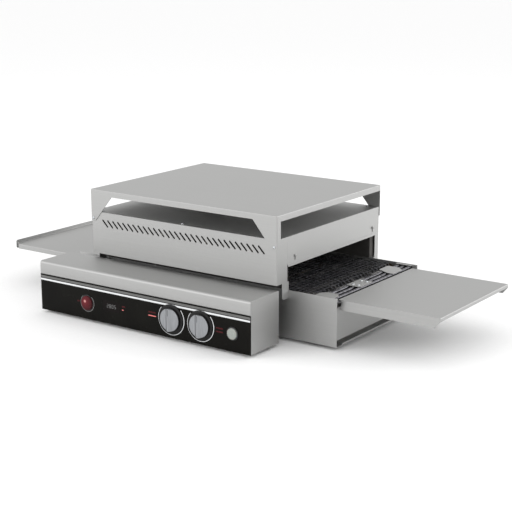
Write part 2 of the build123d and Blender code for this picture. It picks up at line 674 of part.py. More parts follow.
def front_cover():
    face = slab(HOOD_LEFT, HOOD_RIGHT, HOOD_FRONT, HOOD_FRONT + SHEET, HOOD_SKIRT, HOOD_TOP)
    side = Rectangle(FRONT_RETURN - HOOD_FRONT, HOOD_TOP - HOOD_SKIRT)
    side = Pos((FRONT_RETURN + HOOD_FRONT) / 2, (HOOD_TOP + HOOD_SKIRT) / 2) * side
    finger = outline((FINGER_FRONT, HOOD_SKIRT + 1), (BASE_FRONT, HOOD_SKIRT + 1),
                     (BASE_FRONT, FINGER_BOTTOM), (FINGER_FRONT, FINGER_BOTTOM))
    corner = finger.vertices().sort_by(Axis.Y)[:2].sort_by(Axis.X)[0]
    finger = fillet(corner, FINGER_ROUND)
    pieces = [face]
    for x0 in (HOOD_LEFT, HOOD_RIGHT - SHEET):
        pieces.append(cut_from_end(side, x0, x0 + SHEET))
        pieces.append(cut_from_end(finger, x0, x0 + SHEET))
        inward = 1 if x0 < 0 else -1
        tab_near = x0 if inward > 0 else x0 + SHEET
        tab_far = tab_near + inward * FINGER_TAB
        pieces.append(slab(min(tab_near, tab_far), max(tab_near, tab_far), BASE_FRONT - SHEET, BASE_FRONT,
                           FINGER_BOTTOM, BASE_TOP - 2))
    return fused(pieces) - vent_slots(HOOD_FRONT - 1, HOOD_FRONT + SHEET + 1)


def rear_cover():
    pieces = [slab(HOOD_LEFT, HOOD_RIGHT, HOOD_BACK - SHEET, HOOD_BACK, FINGER_BOTTOM, HOOD_TOP)]
    for x0 in (HOOD_LEFT, HOOD_RIGHT - SHEET):
        pieces.append(slab(x0, x0 + SHEET, BACK_RETURN, HOOD_BACK, MOUTH_TOP, HOOD_TOP))
        pieces.append(slab(x0, x0 + SHEET, MOUTH_BACK, HOOD_BACK, FINGER_BOTTOM, MOUTH_TOP))
        pieces.append(slab(x0, x0 + SHEET, BASE_BACK, MOUTH_BACK, FINGER_BOTTOM, BASE_TOP - 2))
        inward = 1 if x0 < 0 else -1
        tab_near = x0 if inward > 0 else x0 + SHEET
        tab_far = tab_near + inward * FINGER_TAB
        pieces.append(slab(min(tab_near, tab_far), max(tab_near, tab_far), BASE_BACK, BASE_BACK + SHEET,
                           FINGER_BOTTOM, BASE_TOP - 2))
    return fused(pieces) - vent_slots(HOOD_BACK - SHEET - 1, HOOD_BACK + 1)


def hood_top():
    left, right = HOOD_LEFT + SHEET, HOOD_RIGHT - SHEET
    front, back = HOOD_FRONT + SHEET, HOOD_BACK - SHEET
    flange = HOOD_TOP - HOOD_TOP_FLANGE
    return fused([
        slab(left, right, front, back, HOOD_TOP - SHEET, HOOD_TOP),
        slab(left, right, front, front + SHEET, flange, HOOD_TOP),
        slab(left, right, back - SHEET, back, flange, HOOD_TOP)])


def baffle_stud_places():
    return (FRONT_RETURN + BAFFLE_FRONT_STUD, BACK_RETURN - BAFFLE_BACK_STUD)


def right_side_panel():
    x = HOOD_RIGHT
    face = outline((FRONT_RETURN, HOOD_TOP), (BACK_RETURN, HOOD_TOP),
                   (BACK_RETURN, MOUTH_TOP), (FRONT_RETURN, MOUTH_TOP))
    hem = outline((FRONT_RETURN, MOUTH_TOP + MOUTH_HEM), (BACK_RETURN, MOUTH_TOP + MOUTH_HEM),
                  (BACK_RETURN, MOUTH_TOP), (FRONT_RETURN, MOUTH_TOP))
    face = fillet(face.vertices().sort_by(Axis.Y)[:2], MOUTH_ROUND)
    hem = fillet(hem.vertices().sort_by(Axis.Y)[:2], MOUTH_HEM - 0.5)
    slot = Rot(0, 0, 90) * SlotOverall(BAFFLE_TRAVEL + 2 * BAFFLE_SLOT_RADIUS, 2 * BAFFLE_SLOT_RADIUS)
    panel = fused([cut_from_end(face, x - SHEET, x), cut_from_end(hem, x, x + THIN_SHEET)])
    return panel - [cut_from_end(Pos(y, BAFFLE_SLOT_HEIGHT) * slot, x - SHEET - 1, x + 1)
                    for y in baffle_stud_places()]


def mirrored_about_hood(shape):
    return mirror(shape, about=Plane(origin=(HOOD_MIDDLE, 0, 0), z_dir=(1, 0, 0)))


def left_side_panel():
    return mirrored_about_hood(right_side_panel())


def right_baffle():
    """The sliding plate inside the side panel, with two welded studs and their nuts."""
    outer = HOOD_RIGHT - SHEET - GAP
    front, back = liner_front() + 3, BACK_RETURN - 2
    pieces = [slab(outer - SHEET, outer, front, back, BAFFLE_BOTTOM, BAFFLE_TOP)]
    height = BAFFLE_SLOT_HEIGHT + BAFFLE_TRAVEL / 2
    for y in baffle_stud_places():
        pieces.append(rod_x(outer, HOOD_RIGHT + 5, y, height, BAFFLE_STUD_RADIUS))
        pieces.append(rod_x(HOOD_RIGHT + GAP, HOOD_RIGHT + 2.8, y, height, BAFFLE_NUT_RADIUS))
    return fused(pieces)


def left_baffle():
    return mirrored_about_hood(right_baffle())


# ================================================================ shelf
def top_shelf():
    left, right = HOOD_LEFT - SHEET, HOOD_RIGHT + SHEET
    front, back = HOOD_FRONT - SHEET, HOOD_BACK + SHEET
    flange = SHELF_TOP - SHELF_FLANGE
    web = outline((0, SHELF_TOP), (WEB_TOP_WIDTH + 4, SHELF_TOP), (WEB_TOP_WIDTH + 4, flange),
                  (WEB_TOP_WIDTH, flange), (WEB_MIDDLE_WIDTH, WEB_MIDDLE_HEIGHT),
                  (WEB_BOTTOM_WIDTH, LEG_BOTTOM), (0, LEG_BOTTOM))
    inner_corner = web.vertices().sort_by_distance((WEB_TOP_WIDTH, flange))[0]
    web = fillet(inner_corner, 2.5)
    pieces = [slab(left, right, front, back, SHELF_TOP - SHEET, SHELF_TOP),
              slab(left, right, front, front + SHEET, flange, SHELF_TOP),
              slab(left, right, back - SHEET, back, flange, SHELF_TOP),
              slab(left, left + SHEET, front, back, flange, SHELF_TOP),
              slab(right - SHEET, right, front, back, flange, SHELF_TOP)]
    for y0 in (front, back - SHEET):
        left_web = Pos(left, 0) * web
        right_web = mirror(left_web, about=Plane(origin=(HOOD_MIDDLE, 0, 0), z_dir=(1, 0, 0)))
        pieces += [cut_from_front(left_web, y0, y0 + SHEET), cut_from_front(right_web, y0, y0 + SHEET)]
    for x0 in (left, right - SHEET):
        pieces.append(slab(x0, x0 + SHEET, front, front + LEG_RETURN, LEG_BOTTOM, SHELF_TOP))
    return fused(pieces)


# ================================================================ console
def console_shell():
    """The folded wrap (top, front band, recessed front plate and floor) and its two end plates."""
    left, right = CONSOLE_LEFT, CONSOLE_RIGHT
    outer = outline((CONSOLE_FRONT, CONSOLE_TOP), (CONSOLE_BACK, CONSOLE_TOP),
                    (CONSOLE_BACK, CONSOLE_BOTTOM), (PANEL_BACK, CONSOLE_BOTTOM),
                    (PANEL_BACK, PANEL_TOP), (CONSOLE_FRONT, PANEL_TOP))
    inner = outline((CONSOLE_FRONT + SHEET, CONSOLE_TOP - SHEET), (CONSOLE_BACK + 1, CONSOLE_TOP - SHEET),
                    (CONSOLE_BACK + 1, CONSOLE_BOTTOM + SHEET), (PANEL_BACK + SHEET, CONSOLE_BOTTOM + SHEET),
                    (PANEL_BACK + SHEET, PANEL_TOP + SHEET), (CONSOLE_FRONT + SHEET, PANEL_TOP + SHEET))
    fold = outer.vertices().sort_by_distance((CONSOLE_FRONT, CONSOLE_TOP))[0]
    outer = fillet(fold, CONSOLE_FOLD)
    inner_fold = inner.vertices().sort_by_distance((CONSOLE_FRONT, CONSOLE_TOP))[0]
    inner = fillet(inner_fold, CONSOLE_FOLD - SHEET)
    wrap = cut_from_end(outer, left + SHEET, right - SHEET) - cut_from_end(inner, left, right)
    ends = [cut_from_end(outer, x0, x0 + SHEET) for x0 in (left, right - SHEET)]
    cuts = [slab(left - 1, right + 1, CONSOLE_BACK - SHEET, CONSOLE_BACK + 2,
                 CONSOLE_BOTTOM + SHEET, CONSOLE_TOP - SHEET)]
    floor_low, floor_high = CONSOLE_BOTTOM - 1, CONSOLE_BOTTOM + SHEET + 1
    cuts += [rod_z(x, y, floor_low, floor_high, FOOT_STEM_RADIUS) for x, y in console_foot_places()]
    cuts.append(rod_z(FAN_X, FAN_Y, floor_low, floor_high, FAN_BLADE_RADIUS + 1))
    cuts.append(rod_x(left - 1, left + SHEET + 1, CABLE_GLAND_Y, CABLE_GLAND_HEIGHT, 9))
    front, back = PANEL_BACK - 1, PANEL_BACK + SHEET + 1
    cuts += [rod_y(x, front, back, DIAL_HEIGHT, SPINDLE_HOLE_RADIUS) for x in (TEMP_DIAL_X, SPEED_DIAL_X)]
    cuts += [rod_y(x, front, back, z, radius) for x, z, radius in button_holes()]
    cuts.append(slab(DISPLAY_LEFT, DISPLAY_RIGHT, front, back, DISPLAY_BOTTOM, DISPLAY_TOP))
    return Compound(children=[piece - cuts for piece in [wrap] + ends])


def button_holes():
    """Middle and radius of the round hole for each push button's barrel."""
    return [(POWER_BUTTON_X, POWER_BUTTON_HEIGHT, POWER_BUTTON_RADIUS + 1.5),
            (START_BUTTON_X, START_BUTTON_HEIGHT, START_BUTTON_RADIUS + 1.5)]


def console_back():
    plate = slab(CONSOLE_LEFT, CONSOLE_RIGHT, CONSOLE_BACK - SHEET, CONSOLE_BACK,
                 CONSOLE_BOTTOM + SHEET, CONSOLE_TOP - SHEET)
    shaft_hole = rod_y(-SHAFT_X, CONSOLE_BACK - 3, CONSOLE_BACK + 1, SHAFT_HEIGHT, SHAFT_RADIUS + 4)
    wire_hole = slab(-60, 60, CONSOLE_BACK - 3, CONSOLE_BACK + 1, DUCT_BOTTOM + 8, DUCT_TOP - 8)
    return plate - [shaft_hole, wire_hole]


def control_panel():
    panel = slab(CONSOLE_LEFT, CONSOLE_RIGHT, CONSOLE_FRONT, PANEL_BACK, CONSOLE_BOTTOM, PANEL_TOP)
    front, back = CONSOLE_FRONT - 1, PANEL_BACK + 1
    cuts = [rod_y(x, front, back, DIAL_HEIGHT, SPINDLE_HOLE_RADIUS) for x in (TEMP_DIAL_X, SPEED_DIAL_X)]
    cuts += [rod_y(x, front, back, z, radius) for x, z, radius in button_holes()]
    cuts.append(slab(DISPLAY_LEFT, DISPLAY_RIGHT, front, back, DISPLAY_BOTTOM, DISPLAY_TOP))
    return panel - cuts


def chrome_strip():
    return slab(CONSOLE_LEFT, CONSOLE_RIGHT, CONSOLE_FRONT - STRIP_THICKNESS, CONSOLE_FRONT,
                STRIP_BOTTOM, PANEL_TOP)


def display_unit():
    window = slab(DISPLAY_LEFT, DISPLAY_RIGHT, CONSOLE_FRONT, PANEL_BACK + SHEET,
                  DISPLAY_BOTTOM, DISPLAY_TOP)
    board = slab(DISPLAY_LEFT - 6, DISPLAY_RIGHT + 6, PANEL_BACK + SHEET, PANEL_BACK + SHEET + 12,
                 DISPLAY_BOTTOM - 6, DISPLAY_TOP + 6)
    return fused([window, board])


def dial_rings():
    ring = Circle(RING_RADIUS) - Circle(RING_RADIUS - RING_WIDTH)
    reach = RING_RADIUS + 5
    half = reach * math.tan(math.radians(RING_OPENING / 2))
    gap = outline((0, 0), (half, reach), (-half, reach))
    face = CONSOLE_FRONT - STRIP_THICKNESS
    return Compound(children=[cut_from_front(Pos(x, DIAL_HEIGHT) * (ring - gap), face, CONSOLE_FRONT)
                              for x in (TEMP_DIAL_X, SPEED_DIAL_X)])


def dial_knob(x):
    """The black skirt and body of a dial, turned as one piece."""
    back = CONSOLE_FRONT - STRIP_THICKNESS - GAP
    skirt = rod_y(x, back - DIAL_SKIRT, back, DIAL_HEIGHT, DIAL_RADIUS)
    body = rod_y(x, back - DIAL_SKIRT - DIAL_BODY_DEPTH, back - DIAL_SKIRT, DIAL_HEIGHT, DIAL_BODY_RADIUS)
    bore = rod_y(x, back - DIAL_SKIRT - DIAL_BODY_DEPTH, back + 1, DIAL_HEIGHT, SPINDLE_RADIUS)
    return fused([skirt, body]) - bore


def dial_grip(x):
    """The silver cap: a flat rim and a roof-shaped finger ridge standing upright across it."""
    back = CONSOLE_FRONT - STRIP_THICKNESS - GAP - DIAL_SKIRT - DIAL_BODY_DEPTH
    cap = rod_y(x, back - GRIP_RIM, back, DIAL_HEIGHT, GRIP_RADIUS)
    base, top = GRIP_RIDGE_BASE / 2, GRIP_RIDGE_TOP / 2
    section = outline((x - base, back - GRIP_RIM), (x + base, back - GRIP_RIM),
                      (x + top, back - GRIP_DEPTH), (x - top, back - GRIP_DEPTH))
    ridge = Pos(0, 0, DIAL_HEIGHT - GRIP_RADIUS) * extrude(section, amount=2 * GRIP_RADIUS)
    return fused([cap, ridge & rod_y(x, back - GRIP_DEPTH, back, DIAL_HEIGHT, GRIP_RADIUS)])


def dial_spindle(x):
    back = CONSOLE_FRONT - STRIP_THICKNESS - GAP
    return rod_y(x, back - DIAL_SKIRT - DIAL_BODY_DEPTH + GAP, PANEL_BACK + 20, DIAL_HEIGHT, SPINDLE_RADIUS)


def temp_knob():
    return dial_knob(TEMP_DIAL_X)


def temp_grip():
    return dial_grip(TEMP_DIAL_X)


def temp_spindle():
    return dial_spindle(TEMP_DIAL_X)


def speed_knob():
    return dial_knob(SPEED_DIAL_X)


def speed_grip():
    return dial_grip(SPEED_DIAL_X)


def speed_spindle():
    return dial_spindle(SPEED_DIAL_X)


def control_body(x, half_width, half_height):
    """The body of a rotary control, screwed behind the recessed front plate."""
    front = PANEL_BACK + SHEET
    body = slab(x - half_width, x + half_width, front, front + 26,
                DIAL_HEIGHT - half_height, DIAL_HEIGHT + half_height)
    bore = rod_y(x, front - 1, front + 21, DIAL_HEIGHT, SPINDLE_RADIUS + RUNNING_FIT)
    return body - bore


def thermostat():
    return control_body(TEMP_DIAL_X, 18, 18)


def speed_control():
    return control_body(SPEED_DIAL_X, 26, 15)


def button_body(x, height, radius):
    """The bezel ring and the barrel that a push button slides in."""
    inner = radius + GAP
    ring = rod_y(x, CONSOLE_FRONT - 2, CONSOLE_FRONT, height, radius + BUTTON_RING_WIDTH)
    barrel = rod_y(x, CONSOLE_FRONT, CONSOLE_FRONT + BUTTON_BARREL, height, radius + 1.5)
    well = rod_y(x, CONSOLE_FRONT - 3, CONSOLE_FRONT + 12, height, inner)
    return fused([ring, barrel]) - well


def button_bodies():
    return Compound(children=[button_body(POWER_BUTTON_X, POWER_BUTTON_HEIGHT, POWER_BUTTON_RADIUS),
                              button_body(START_BUTTON_X, START_BUTTON_HEIGHT, START_BUTTON_RADIUS)])


def push_button(x, height, radius):
    front = CONSOLE_FRONT - 2 - BUTTON_TRAVEL
    cap = rod_y(x, front, CONSOLE_FRONT + 12 - BUTTON_TRAVEL - GAP, height, radius)
    return fillet(cap.edges().group_by(Axis.Y)[0], 1.2)


def power_button():
    return push_button(POWER_BUTTON_X, POWER_BUTTON_HEIGHT, POWER_BUTTON_RADIUS)


def start_button():
    return push_button(START_BUTTON_X, START_BUTTON_HEIGHT, START_BUTTON_RADIUS)


# ================================================================ drive
def pitch_radius(teeth):
    return CHAIN_PITCH / (2 * math.sin(math.pi / teeth))


def chain_sprocket(x, z, teeth, bore):
    """A chain sprocket: a disc with one roller seat per tooth, and a hub."""
    radius = pitch_radius(teeth)
    seats = [Rot(0, 0, i * 360 / teeth) * Pos(radius, 0) * Circle(CHAIN_ROLLER_RADIUS)
             for i in range(teeth)]
    profile = Pos(x, z) * (Circle(radius + 2.6) - seats - Circle(bore))
    disc = cut_from_front(profile, CHAIN_Y - CHAIN_TOOTH_WIDTH / 2, CHAIN_Y + CHAIN_TOOTH_WIDTH / 2)
    hub = rod_y(x, CHAIN_Y - 8, CHAIN_Y, z, bore + 3.5) - rod_y(x, CHAIN_Y - 9, CHAIN_Y + 1, z, bore)
    return fused([disc, hub])


def shaft_chain_sprocket():
    return chain_sprocket(-SHAFT_X, SHAFT_HEIGHT, SHAFT_CHAIN_TEETH, SHAFT_RADIUS)


def motor_sprocket():
    """The small sprocket and the gearbox's output shaft."""
    sprocket = chain_sprocket(MOTOR_X, MOTOR_HEIGHT, MOTOR_CHAIN_TEETH, MOTOR_SHAFT_RADIUS)
    shaft = rod_y(MOTOR_X, GEARBOX_BACK - 20, CHAIN_Y + 5, MOTOR_HEIGHT, MOTOR_SHAFT_RADIUS)
    return Compound(children=[sprocket, shaft])


def drive_chain():
    """The chain as one loop: two plate loops joined by rollers along the straight runs."""
    big, small = pitch_radius(SHAFT_CHAIN_TEETH), pitch_radius(MOTOR_CHAIN_TEETH)
    start, end = Vector(-SHAFT_X, SHAFT_HEIGHT), Vector(MOTOR_X, MOTOR_HEIGHT)
    line = end - start
    heading = math.atan2(line.Y, line.X)
    lean = math.acos((big - small) / line.length)

    def loop(offset):
        big_circle = Pos(start.X, start.Y) * Circle(big + offset)
        small_circle = Pos(end.X, end.Y) * Circle(small + offset)
        corners = []
        for side in (-1, 1):
            angle = heading + side * lean
            out = Vector(math.cos(angle), math.sin(angle))
            pair = [start + out * (big + offset), end + out * (small + offset)]
            corners += pair if side < 0 else reversed(pair)
        between = outline(*[(corner.X, corner.Y) for corner in corners])
        return big_circle + small_circle + between

    band = loop(CHAIN_PLATE_HALF_HEIGHT) - loop(-CHAIN_PLATE_HALF_HEIGHT)
    inner_face = CHAIN_TOOTH_WIDTH / 2 + 0.6
    plates = [cut_from_front(band, CHAIN_Y + side, CHAIN_Y + side + CHAIN_PLATE)
              for side in (inner_face, -inner_face - CHAIN_PLATE)]
    rollers = []
    for side in (-1, 1):
        angle = heading + side * lean
        out = Vector(math.cos(angle), math.sin(angle))
        first, last = start + out * big, end + out * small
        run = last - first
        count = int((run.length - 4 * CHAIN_PITCH) / CHAIN_PITCH)
        for i in range(count + 1):
            place = first + run.normalized() * (run.length / 2 + (i - count / 2) * CHAIN_PITCH)
            rollers.append(rod_y(place.X, CHAIN_Y - inner_face, CHAIN_Y + inner_face, place.Y,
                                 CHAIN_ROLLER_RADIUS))
    return fused(plates + rollers)


def gear_motor():
    x, z, half = MOTOR_X, MOTOR_HEIGHT, GEARBOX_HALF
    middle = (GEARBOX_FRONT + GEARBOX_BACK) / 2
    floor = CONSOLE_BOTTOM + SHEET
    box = slab(x - half, x + half, GEARBOX_FRONT, GEARBOX_BACK, z - half, z + half)
    boss = rod_y(x, GEARBOX_BACK, GEARBOX_BACK + 3, z, GEARBOX_BOSS_RADIUS)
    motor = rod_x(x + half, x + half + MOTOR_LENGTH, middle, z, MOTOR_RADIUS)
    foot = slab(x - half, x + half, GEARBOX_FRONT, GEARBOX_BACK, floor, floor + GEARBOX_FOOT)
    wide, deep = GEARBOX_POST_HALF
    posts = [slab(place - wide, place + wide, middle - deep, middle + deep, floor, z - half)
             for place in (x - GEARBOX_POST_SPREAD, x + GEARBOX_POST_SPREAD)]
    bore = rod_y(x, GEARBOX_BACK - 21, GEARBOX_BACK + 4, z, MOTOR_SHAFT_RADIUS + RUNNING_FIT)
    return fused([box, boss, motor, foot] + posts) - bore


# ================================================================ fan and wiring parts
def fan_frame():
    low = CONSOLE_BOTTOM + SHEET
    body = slab(FAN_X - FAN_HALF, FAN_X + FAN_HALF, FAN_Y - FAN_HALF, FAN_Y + FAN_HALF, low, low + FAN_DEPTH)
    well = rod_z(FAN_X, FAN_Y, low - 1, low + FAN_DEPTH + 1, FAN_BLADE_RADIUS + 1.5)
    spider = [rod_z(FAN_X, FAN_Y, low + FAN_DEPTH - 3, low + FAN_DEPTH, FAN_HUB_RADIUS)]
    reach = FAN_BLADE_RADIUS + 2
    spider += [slab(FAN_X - reach, FAN_X + reach, FAN_Y - 2, FAN_Y + 2, low + FAN_DEPTH - 3, low + FAN_DEPTH),
               slab(FAN_X - 2, FAN_X + 2, FAN_Y - reach, FAN_Y + reach, low + FAN_DEPTH - 3, low + FAN_DEPTH)]
    return fused([body - well] + spider)


def fan_rotor():
    low = CONSOLE_BOTTOM + SHEET + 3
    high = CONSOLE_BOTTOM + SHEET + FAN_DEPTH - 3.5
    middle = (low + high) / 2
    hub = rod_z(FAN_X, FAN_Y, low, high, FAN_HUB_RADIUS)
    length = FAN_BLADE_RADIUS - FAN_HUB_RADIUS + 2
    blade = Pos(FAN_HUB_RADIUS - 2 + length / 2, 0, 0) * Rot(35, 0, 0) * Box(length, 18, 1.6)
    limit = rod_z(FAN_X, FAN_Y, low, high, FAN_BLADE_RADIUS)
    blades = [Pos(FAN_X, FAN_Y, middle) * Rot(0, 0, i * 360 / FAN_BLADES) * blade for i in range(FAN_BLADES)]
    return fused([hub] + blades) & limit


def terminal_block():
    floor = CONSOLE_BOTTOM + SHEET
    front = CABLE_GLAND_Y + 2
    top = floor + TERMINAL_HEIGHT
    body = slab(TERMINAL_LEFT, TERMINAL_RIGHT, front, front + TERMINAL_DEPTH, floor, top)
    middle = (TERMINAL_LEFT + TERMINAL_RIGHT) / 2
    first = middle - (TERMINAL_COUNT - 1) * TERMINAL_PITCH / 2
    wells = [rod_z(first + i * TERMINAL_PITCH, front + TERMINAL_DEPTH / 2, top - 6, top + 1,
                   TERMINAL_WELL_RADIUS) for i in range(TERMINAL_COUNT)]
    return body - wells


def contactor():
    back = CONSOLE_BACK - SHEET
    face = back - CONTACTOR_DEPTH
    body = slab(CONTACTOR_LEFT, CONTACTOR_RIGHT, face, back, CONTACTOR_BOTTOM, CONTACTOR_TOP)
    shoulder = slab(CONTACTOR_LEFT, CONTACTOR_RIGHT, face - CONTACTOR_SHOULDER, face,
                    CONTACTOR_BOTTOM + CONTACTOR_SHOULDER_INSET, CONTACTOR_TOP - CONTACTOR_SHOULDER_INSET)
    return fused([body, shoulder])


def cable_gland():
    """The mains cable's entry in the console's left end: body, nut and a clear bore."""
    y, z = CABLE_GLAND_Y, CABLE_GLAND_HEIGHT
    thread = rod_x(CONSOLE_LEFT - 4, CONSOLE_LEFT + 12, y, z, 9)
    collar = rod_x(CONSOLE_LEFT - 9, CONSOLE_LEFT, y, z, 12)
    cap = Pos(CONSOLE_LEFT - 13.5, y, z) * Rot(0, -90, 0) * Cone(10.5, 8, 9)
    nut = rod_x(CONSOLE_LEFT + SHEET, CONSOLE_LEFT + 6, y, z, 12)
    bore = rod_x(CONSOLE_LEFT - 30, CONSOLE_LEFT + 20, y, z, CABLE_RADIUS)
    return fused([thread, collar, cap, nut]) - bore


# ================================================================ screws
def screws():
    """Pan heads on the shelf's legs, the hood's top, the covers' tabs and the console's back."""
    heads = []
    leg_face = HOOD_FRONT - SHEET
    for x in (HOOD_LEFT + LEG_SCREW_INSET, HOOD_RIGHT - LEG_SCREW_INSET):
        heads.append(rod_y(x, leg_face - SCREW_HEAD, leg_face, LEG_SCREW_HEIGHT, SCREW_HEAD_RADIUS))
    along, across = TOP_SCREW_INSET
    for x in (HOOD_LEFT + along, HOOD_MIDDLE, HOOD_RIGHT - along):
        for y in (HOOD_FRONT + across, HOOD_BACK - across):
            heads.append(rod_z(x, y, HOOD_TOP, HOOD_TOP + SCREW_HEAD, SCREW_HEAD_RADIUS))
    tab_face = BASE_FRONT - SHEET
    for x in (HOOD_LEFT + TAB_SCREW_INSET, HOOD_RIGHT - TAB_SCREW_INSET):
        heads.append(rod_y(x, tab_face - SCREW_HEAD, tab_face, TAB_SCREW_HEIGHT, SCREW_HEAD_RADIUS))
    aside, high = CONSOLE_SCREW_INSET
    for x in (CONSOLE_LEFT + aside, CONSOLE_RIGHT - aside):
        for z in (CONSOLE_BOTTOM + high, CONSOLE_TOP - high):
            heads.append(rod_y(x, CONSOLE_BACK, CONSOLE_BACK + SCREW_HEAD, z, SCREW_HEAD_RADIUS))
    return Compound(children=heads)


PARTS = [
    base_pan, feet, left_end_panel, right_end_panel, conveyor_belt, belt_support_bars, belt_cross_bars,
    shaft_bushes, drive_shaft, drive_sprockets, idler_shaft, idler_sprockets, nose_brackets, nose_rods,
    nose_clips, right_tray, left_tray, crumb_tray, lower_heating_tubes, upper_heating_tubes, tube_glands,
    wire_duct, chamber_liner, reflector, insulation, front_cover, rear_cover, hood_top, left_side_panel,
    right_side_panel, left_baffle, right_baffle, top_shelf, console_shell, console_back, control_panel,
    chrome_strip, display_unit, dial_rings, temp_knob, temp_grip, temp_spindle, speed_knob, speed_grip,
    speed_spindle, thermostat, speed_control, button_bodies, power_button, start_button,
    shaft_chain_sprocket, motor_sprocket, drive_chain, gear_motor, fan_frame, fan_rotor, terminal_block,
    contactor, cable_gland, screws,
]

os.makedirs("parts", exist_ok=True)
for part in PARTS:
    export_step(part(), f"parts/{part.__name__}.step")
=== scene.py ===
import json
import math
from itertools import product

import bmesh
import bpy
from mathutils import Matrix, Vector, noise
from mathutils.bvhtree import BVHTree

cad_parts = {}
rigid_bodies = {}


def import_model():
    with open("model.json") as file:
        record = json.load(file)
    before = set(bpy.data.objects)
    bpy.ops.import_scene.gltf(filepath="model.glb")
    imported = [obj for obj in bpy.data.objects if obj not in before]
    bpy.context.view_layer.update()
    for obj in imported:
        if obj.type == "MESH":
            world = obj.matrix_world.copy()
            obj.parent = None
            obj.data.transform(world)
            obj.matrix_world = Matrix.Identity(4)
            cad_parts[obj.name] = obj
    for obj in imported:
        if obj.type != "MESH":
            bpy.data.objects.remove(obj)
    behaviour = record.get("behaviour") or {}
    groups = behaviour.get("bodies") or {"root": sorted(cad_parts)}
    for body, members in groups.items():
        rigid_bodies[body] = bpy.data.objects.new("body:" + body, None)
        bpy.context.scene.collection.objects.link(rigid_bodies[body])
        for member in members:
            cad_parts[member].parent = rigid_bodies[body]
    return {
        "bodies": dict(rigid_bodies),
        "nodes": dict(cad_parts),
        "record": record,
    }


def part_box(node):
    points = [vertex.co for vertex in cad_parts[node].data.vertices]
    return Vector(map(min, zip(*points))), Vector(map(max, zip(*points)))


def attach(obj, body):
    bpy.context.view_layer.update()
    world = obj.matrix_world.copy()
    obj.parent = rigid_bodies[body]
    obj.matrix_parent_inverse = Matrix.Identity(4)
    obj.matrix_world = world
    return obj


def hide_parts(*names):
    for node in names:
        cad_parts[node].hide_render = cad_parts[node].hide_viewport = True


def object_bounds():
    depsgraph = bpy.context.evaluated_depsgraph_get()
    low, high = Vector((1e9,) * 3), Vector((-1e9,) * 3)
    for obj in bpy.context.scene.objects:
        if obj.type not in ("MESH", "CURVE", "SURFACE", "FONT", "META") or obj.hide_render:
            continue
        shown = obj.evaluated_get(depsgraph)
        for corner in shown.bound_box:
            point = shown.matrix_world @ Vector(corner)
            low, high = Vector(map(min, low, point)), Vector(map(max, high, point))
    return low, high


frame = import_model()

bl_info = {
    "name": "Conveyor pizza oven",
    "version": (1, 0, 0),
    "blender": (4, 5, 0),
    "location": "View3D > Sidebar > Oven",
    "description": "Builds the visible sheet metal, belt, controls and finishes of a conveyor pizza oven",
    "category": "Object",
}

MM = 0.001
NODES = frame["nodes"]
for stock in [o for o in bpy.data.objects
              if o not in NODES.values() and o not in frame["bodies"].values()]:
    bpy.data.objects.remove(stock)
CAD_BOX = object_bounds()

RECORD = frame["record"]
SLOT_OF = {part["node"]: part["material_slot"] for part in RECORD["subparts"]}
BODY_OF = {node: body for body, nodes in RECORD["behaviour"]["bodies"].items() for node in nodes}


# ================================================================ colour and node helpers
def linear(hex_colour):
    """An sRGB hex colour as linear red, green, blue and alpha."""
    channels = [int(hex_colour[i:i + 2], 16) / 255 for i in (1, 3, 5)]
    return [c / 12.92 if c <= 0.04045 else ((c + 0.055) / 1.055) ** 2.4 for c in channels] + [1.0]


def add_node(tree, kind, settings, links=None):
    """Adds a node. Settings name its sockets or its own properties; links join its sockets to sources."""
    node = tree.nodes.new(kind)
    for name, value in settings.items():
        if isinstance(name, int) or name in node.inputs:
            node.inputs[name].default_value = value
        else:
            setattr(node, name, value)
    for name, source in (links or {}).items():
        tree.links.new(source, node.inputs[name])
    return node


def new_surface(name, settings):
    """A material whose even values are set straight on its shader, with its node tree, shader and place."""
    material = bpy.data.materials.new(name)
    material.use_nodes = True
    tree = material.node_tree
    shader = tree.nodes["Principled BSDF"]
    for socket, value in settings.items():
        shader.inputs[socket].default_value = value
    place = add_node(tree, "ShaderNodeTexCoord", {}).outputs["Object"]
    return material, tree, shader, place


def add_grain(tree, shader, place, grain_mm, colours, roughness, depth_mm=0.0, detail=3.0):
    """Grain of a real size in mm along X, Y and Z: it shifts the colour, the roughness and the relief."""
    scale = [1 / (size * MM) for size in grain_mm]
    spread = add_node(tree, "ShaderNodeMapping", {"Scale": scale}, {"Vector": place})
    speckle = add_node(tree, "ShaderNodeTexNoise", {"Scale": 1.0, "Detail": detail},
                       {"Vector": spread.outputs["Vector"]})
    level = add_node(tree, "ShaderNodeMapRange", {"From Min": 0.3, "From Max": 0.7},
                     {"Value": speckle.outputs["Fac"]}).outputs["Result"]
    dark, pale = (linear(colour) for colour in colours)
    tint = add_node(tree, "ShaderNodeMix", {"data_type": "RGBA", 6: dark, 7: pale}, {0: level})
    tree.links.new(tint.outputs[2], shader.inputs["Base Color"])
    dull = add_node(tree, "ShaderNodeMapRange", {"To Min": roughness[0], "To Max": roughness[1]},
                    {"Value": level})
    tree.links.new(dull.outputs["Result"], shader.inputs["Roughness"])
    if depth_mm:
        relief = add_node(tree, "ShaderNodeBump", {"Strength": 1.0, "Distance": depth_mm * MM},
                          {"Height": level})
        tree.links.new(relief.outputs["Normal"], shader.inputs["Normal"])


def grained(name, settings, grain_mm, colours, roughness, depth_mm=0.0, detail=3.0):
    """A material with even settings and one grain, which is all that most finishes need."""
    material, tree, shader, place = new_surface(name, settings)
    add_grain(tree, shader, place, grain_mm, colours, roughness, depth_mm, detail)
    return material


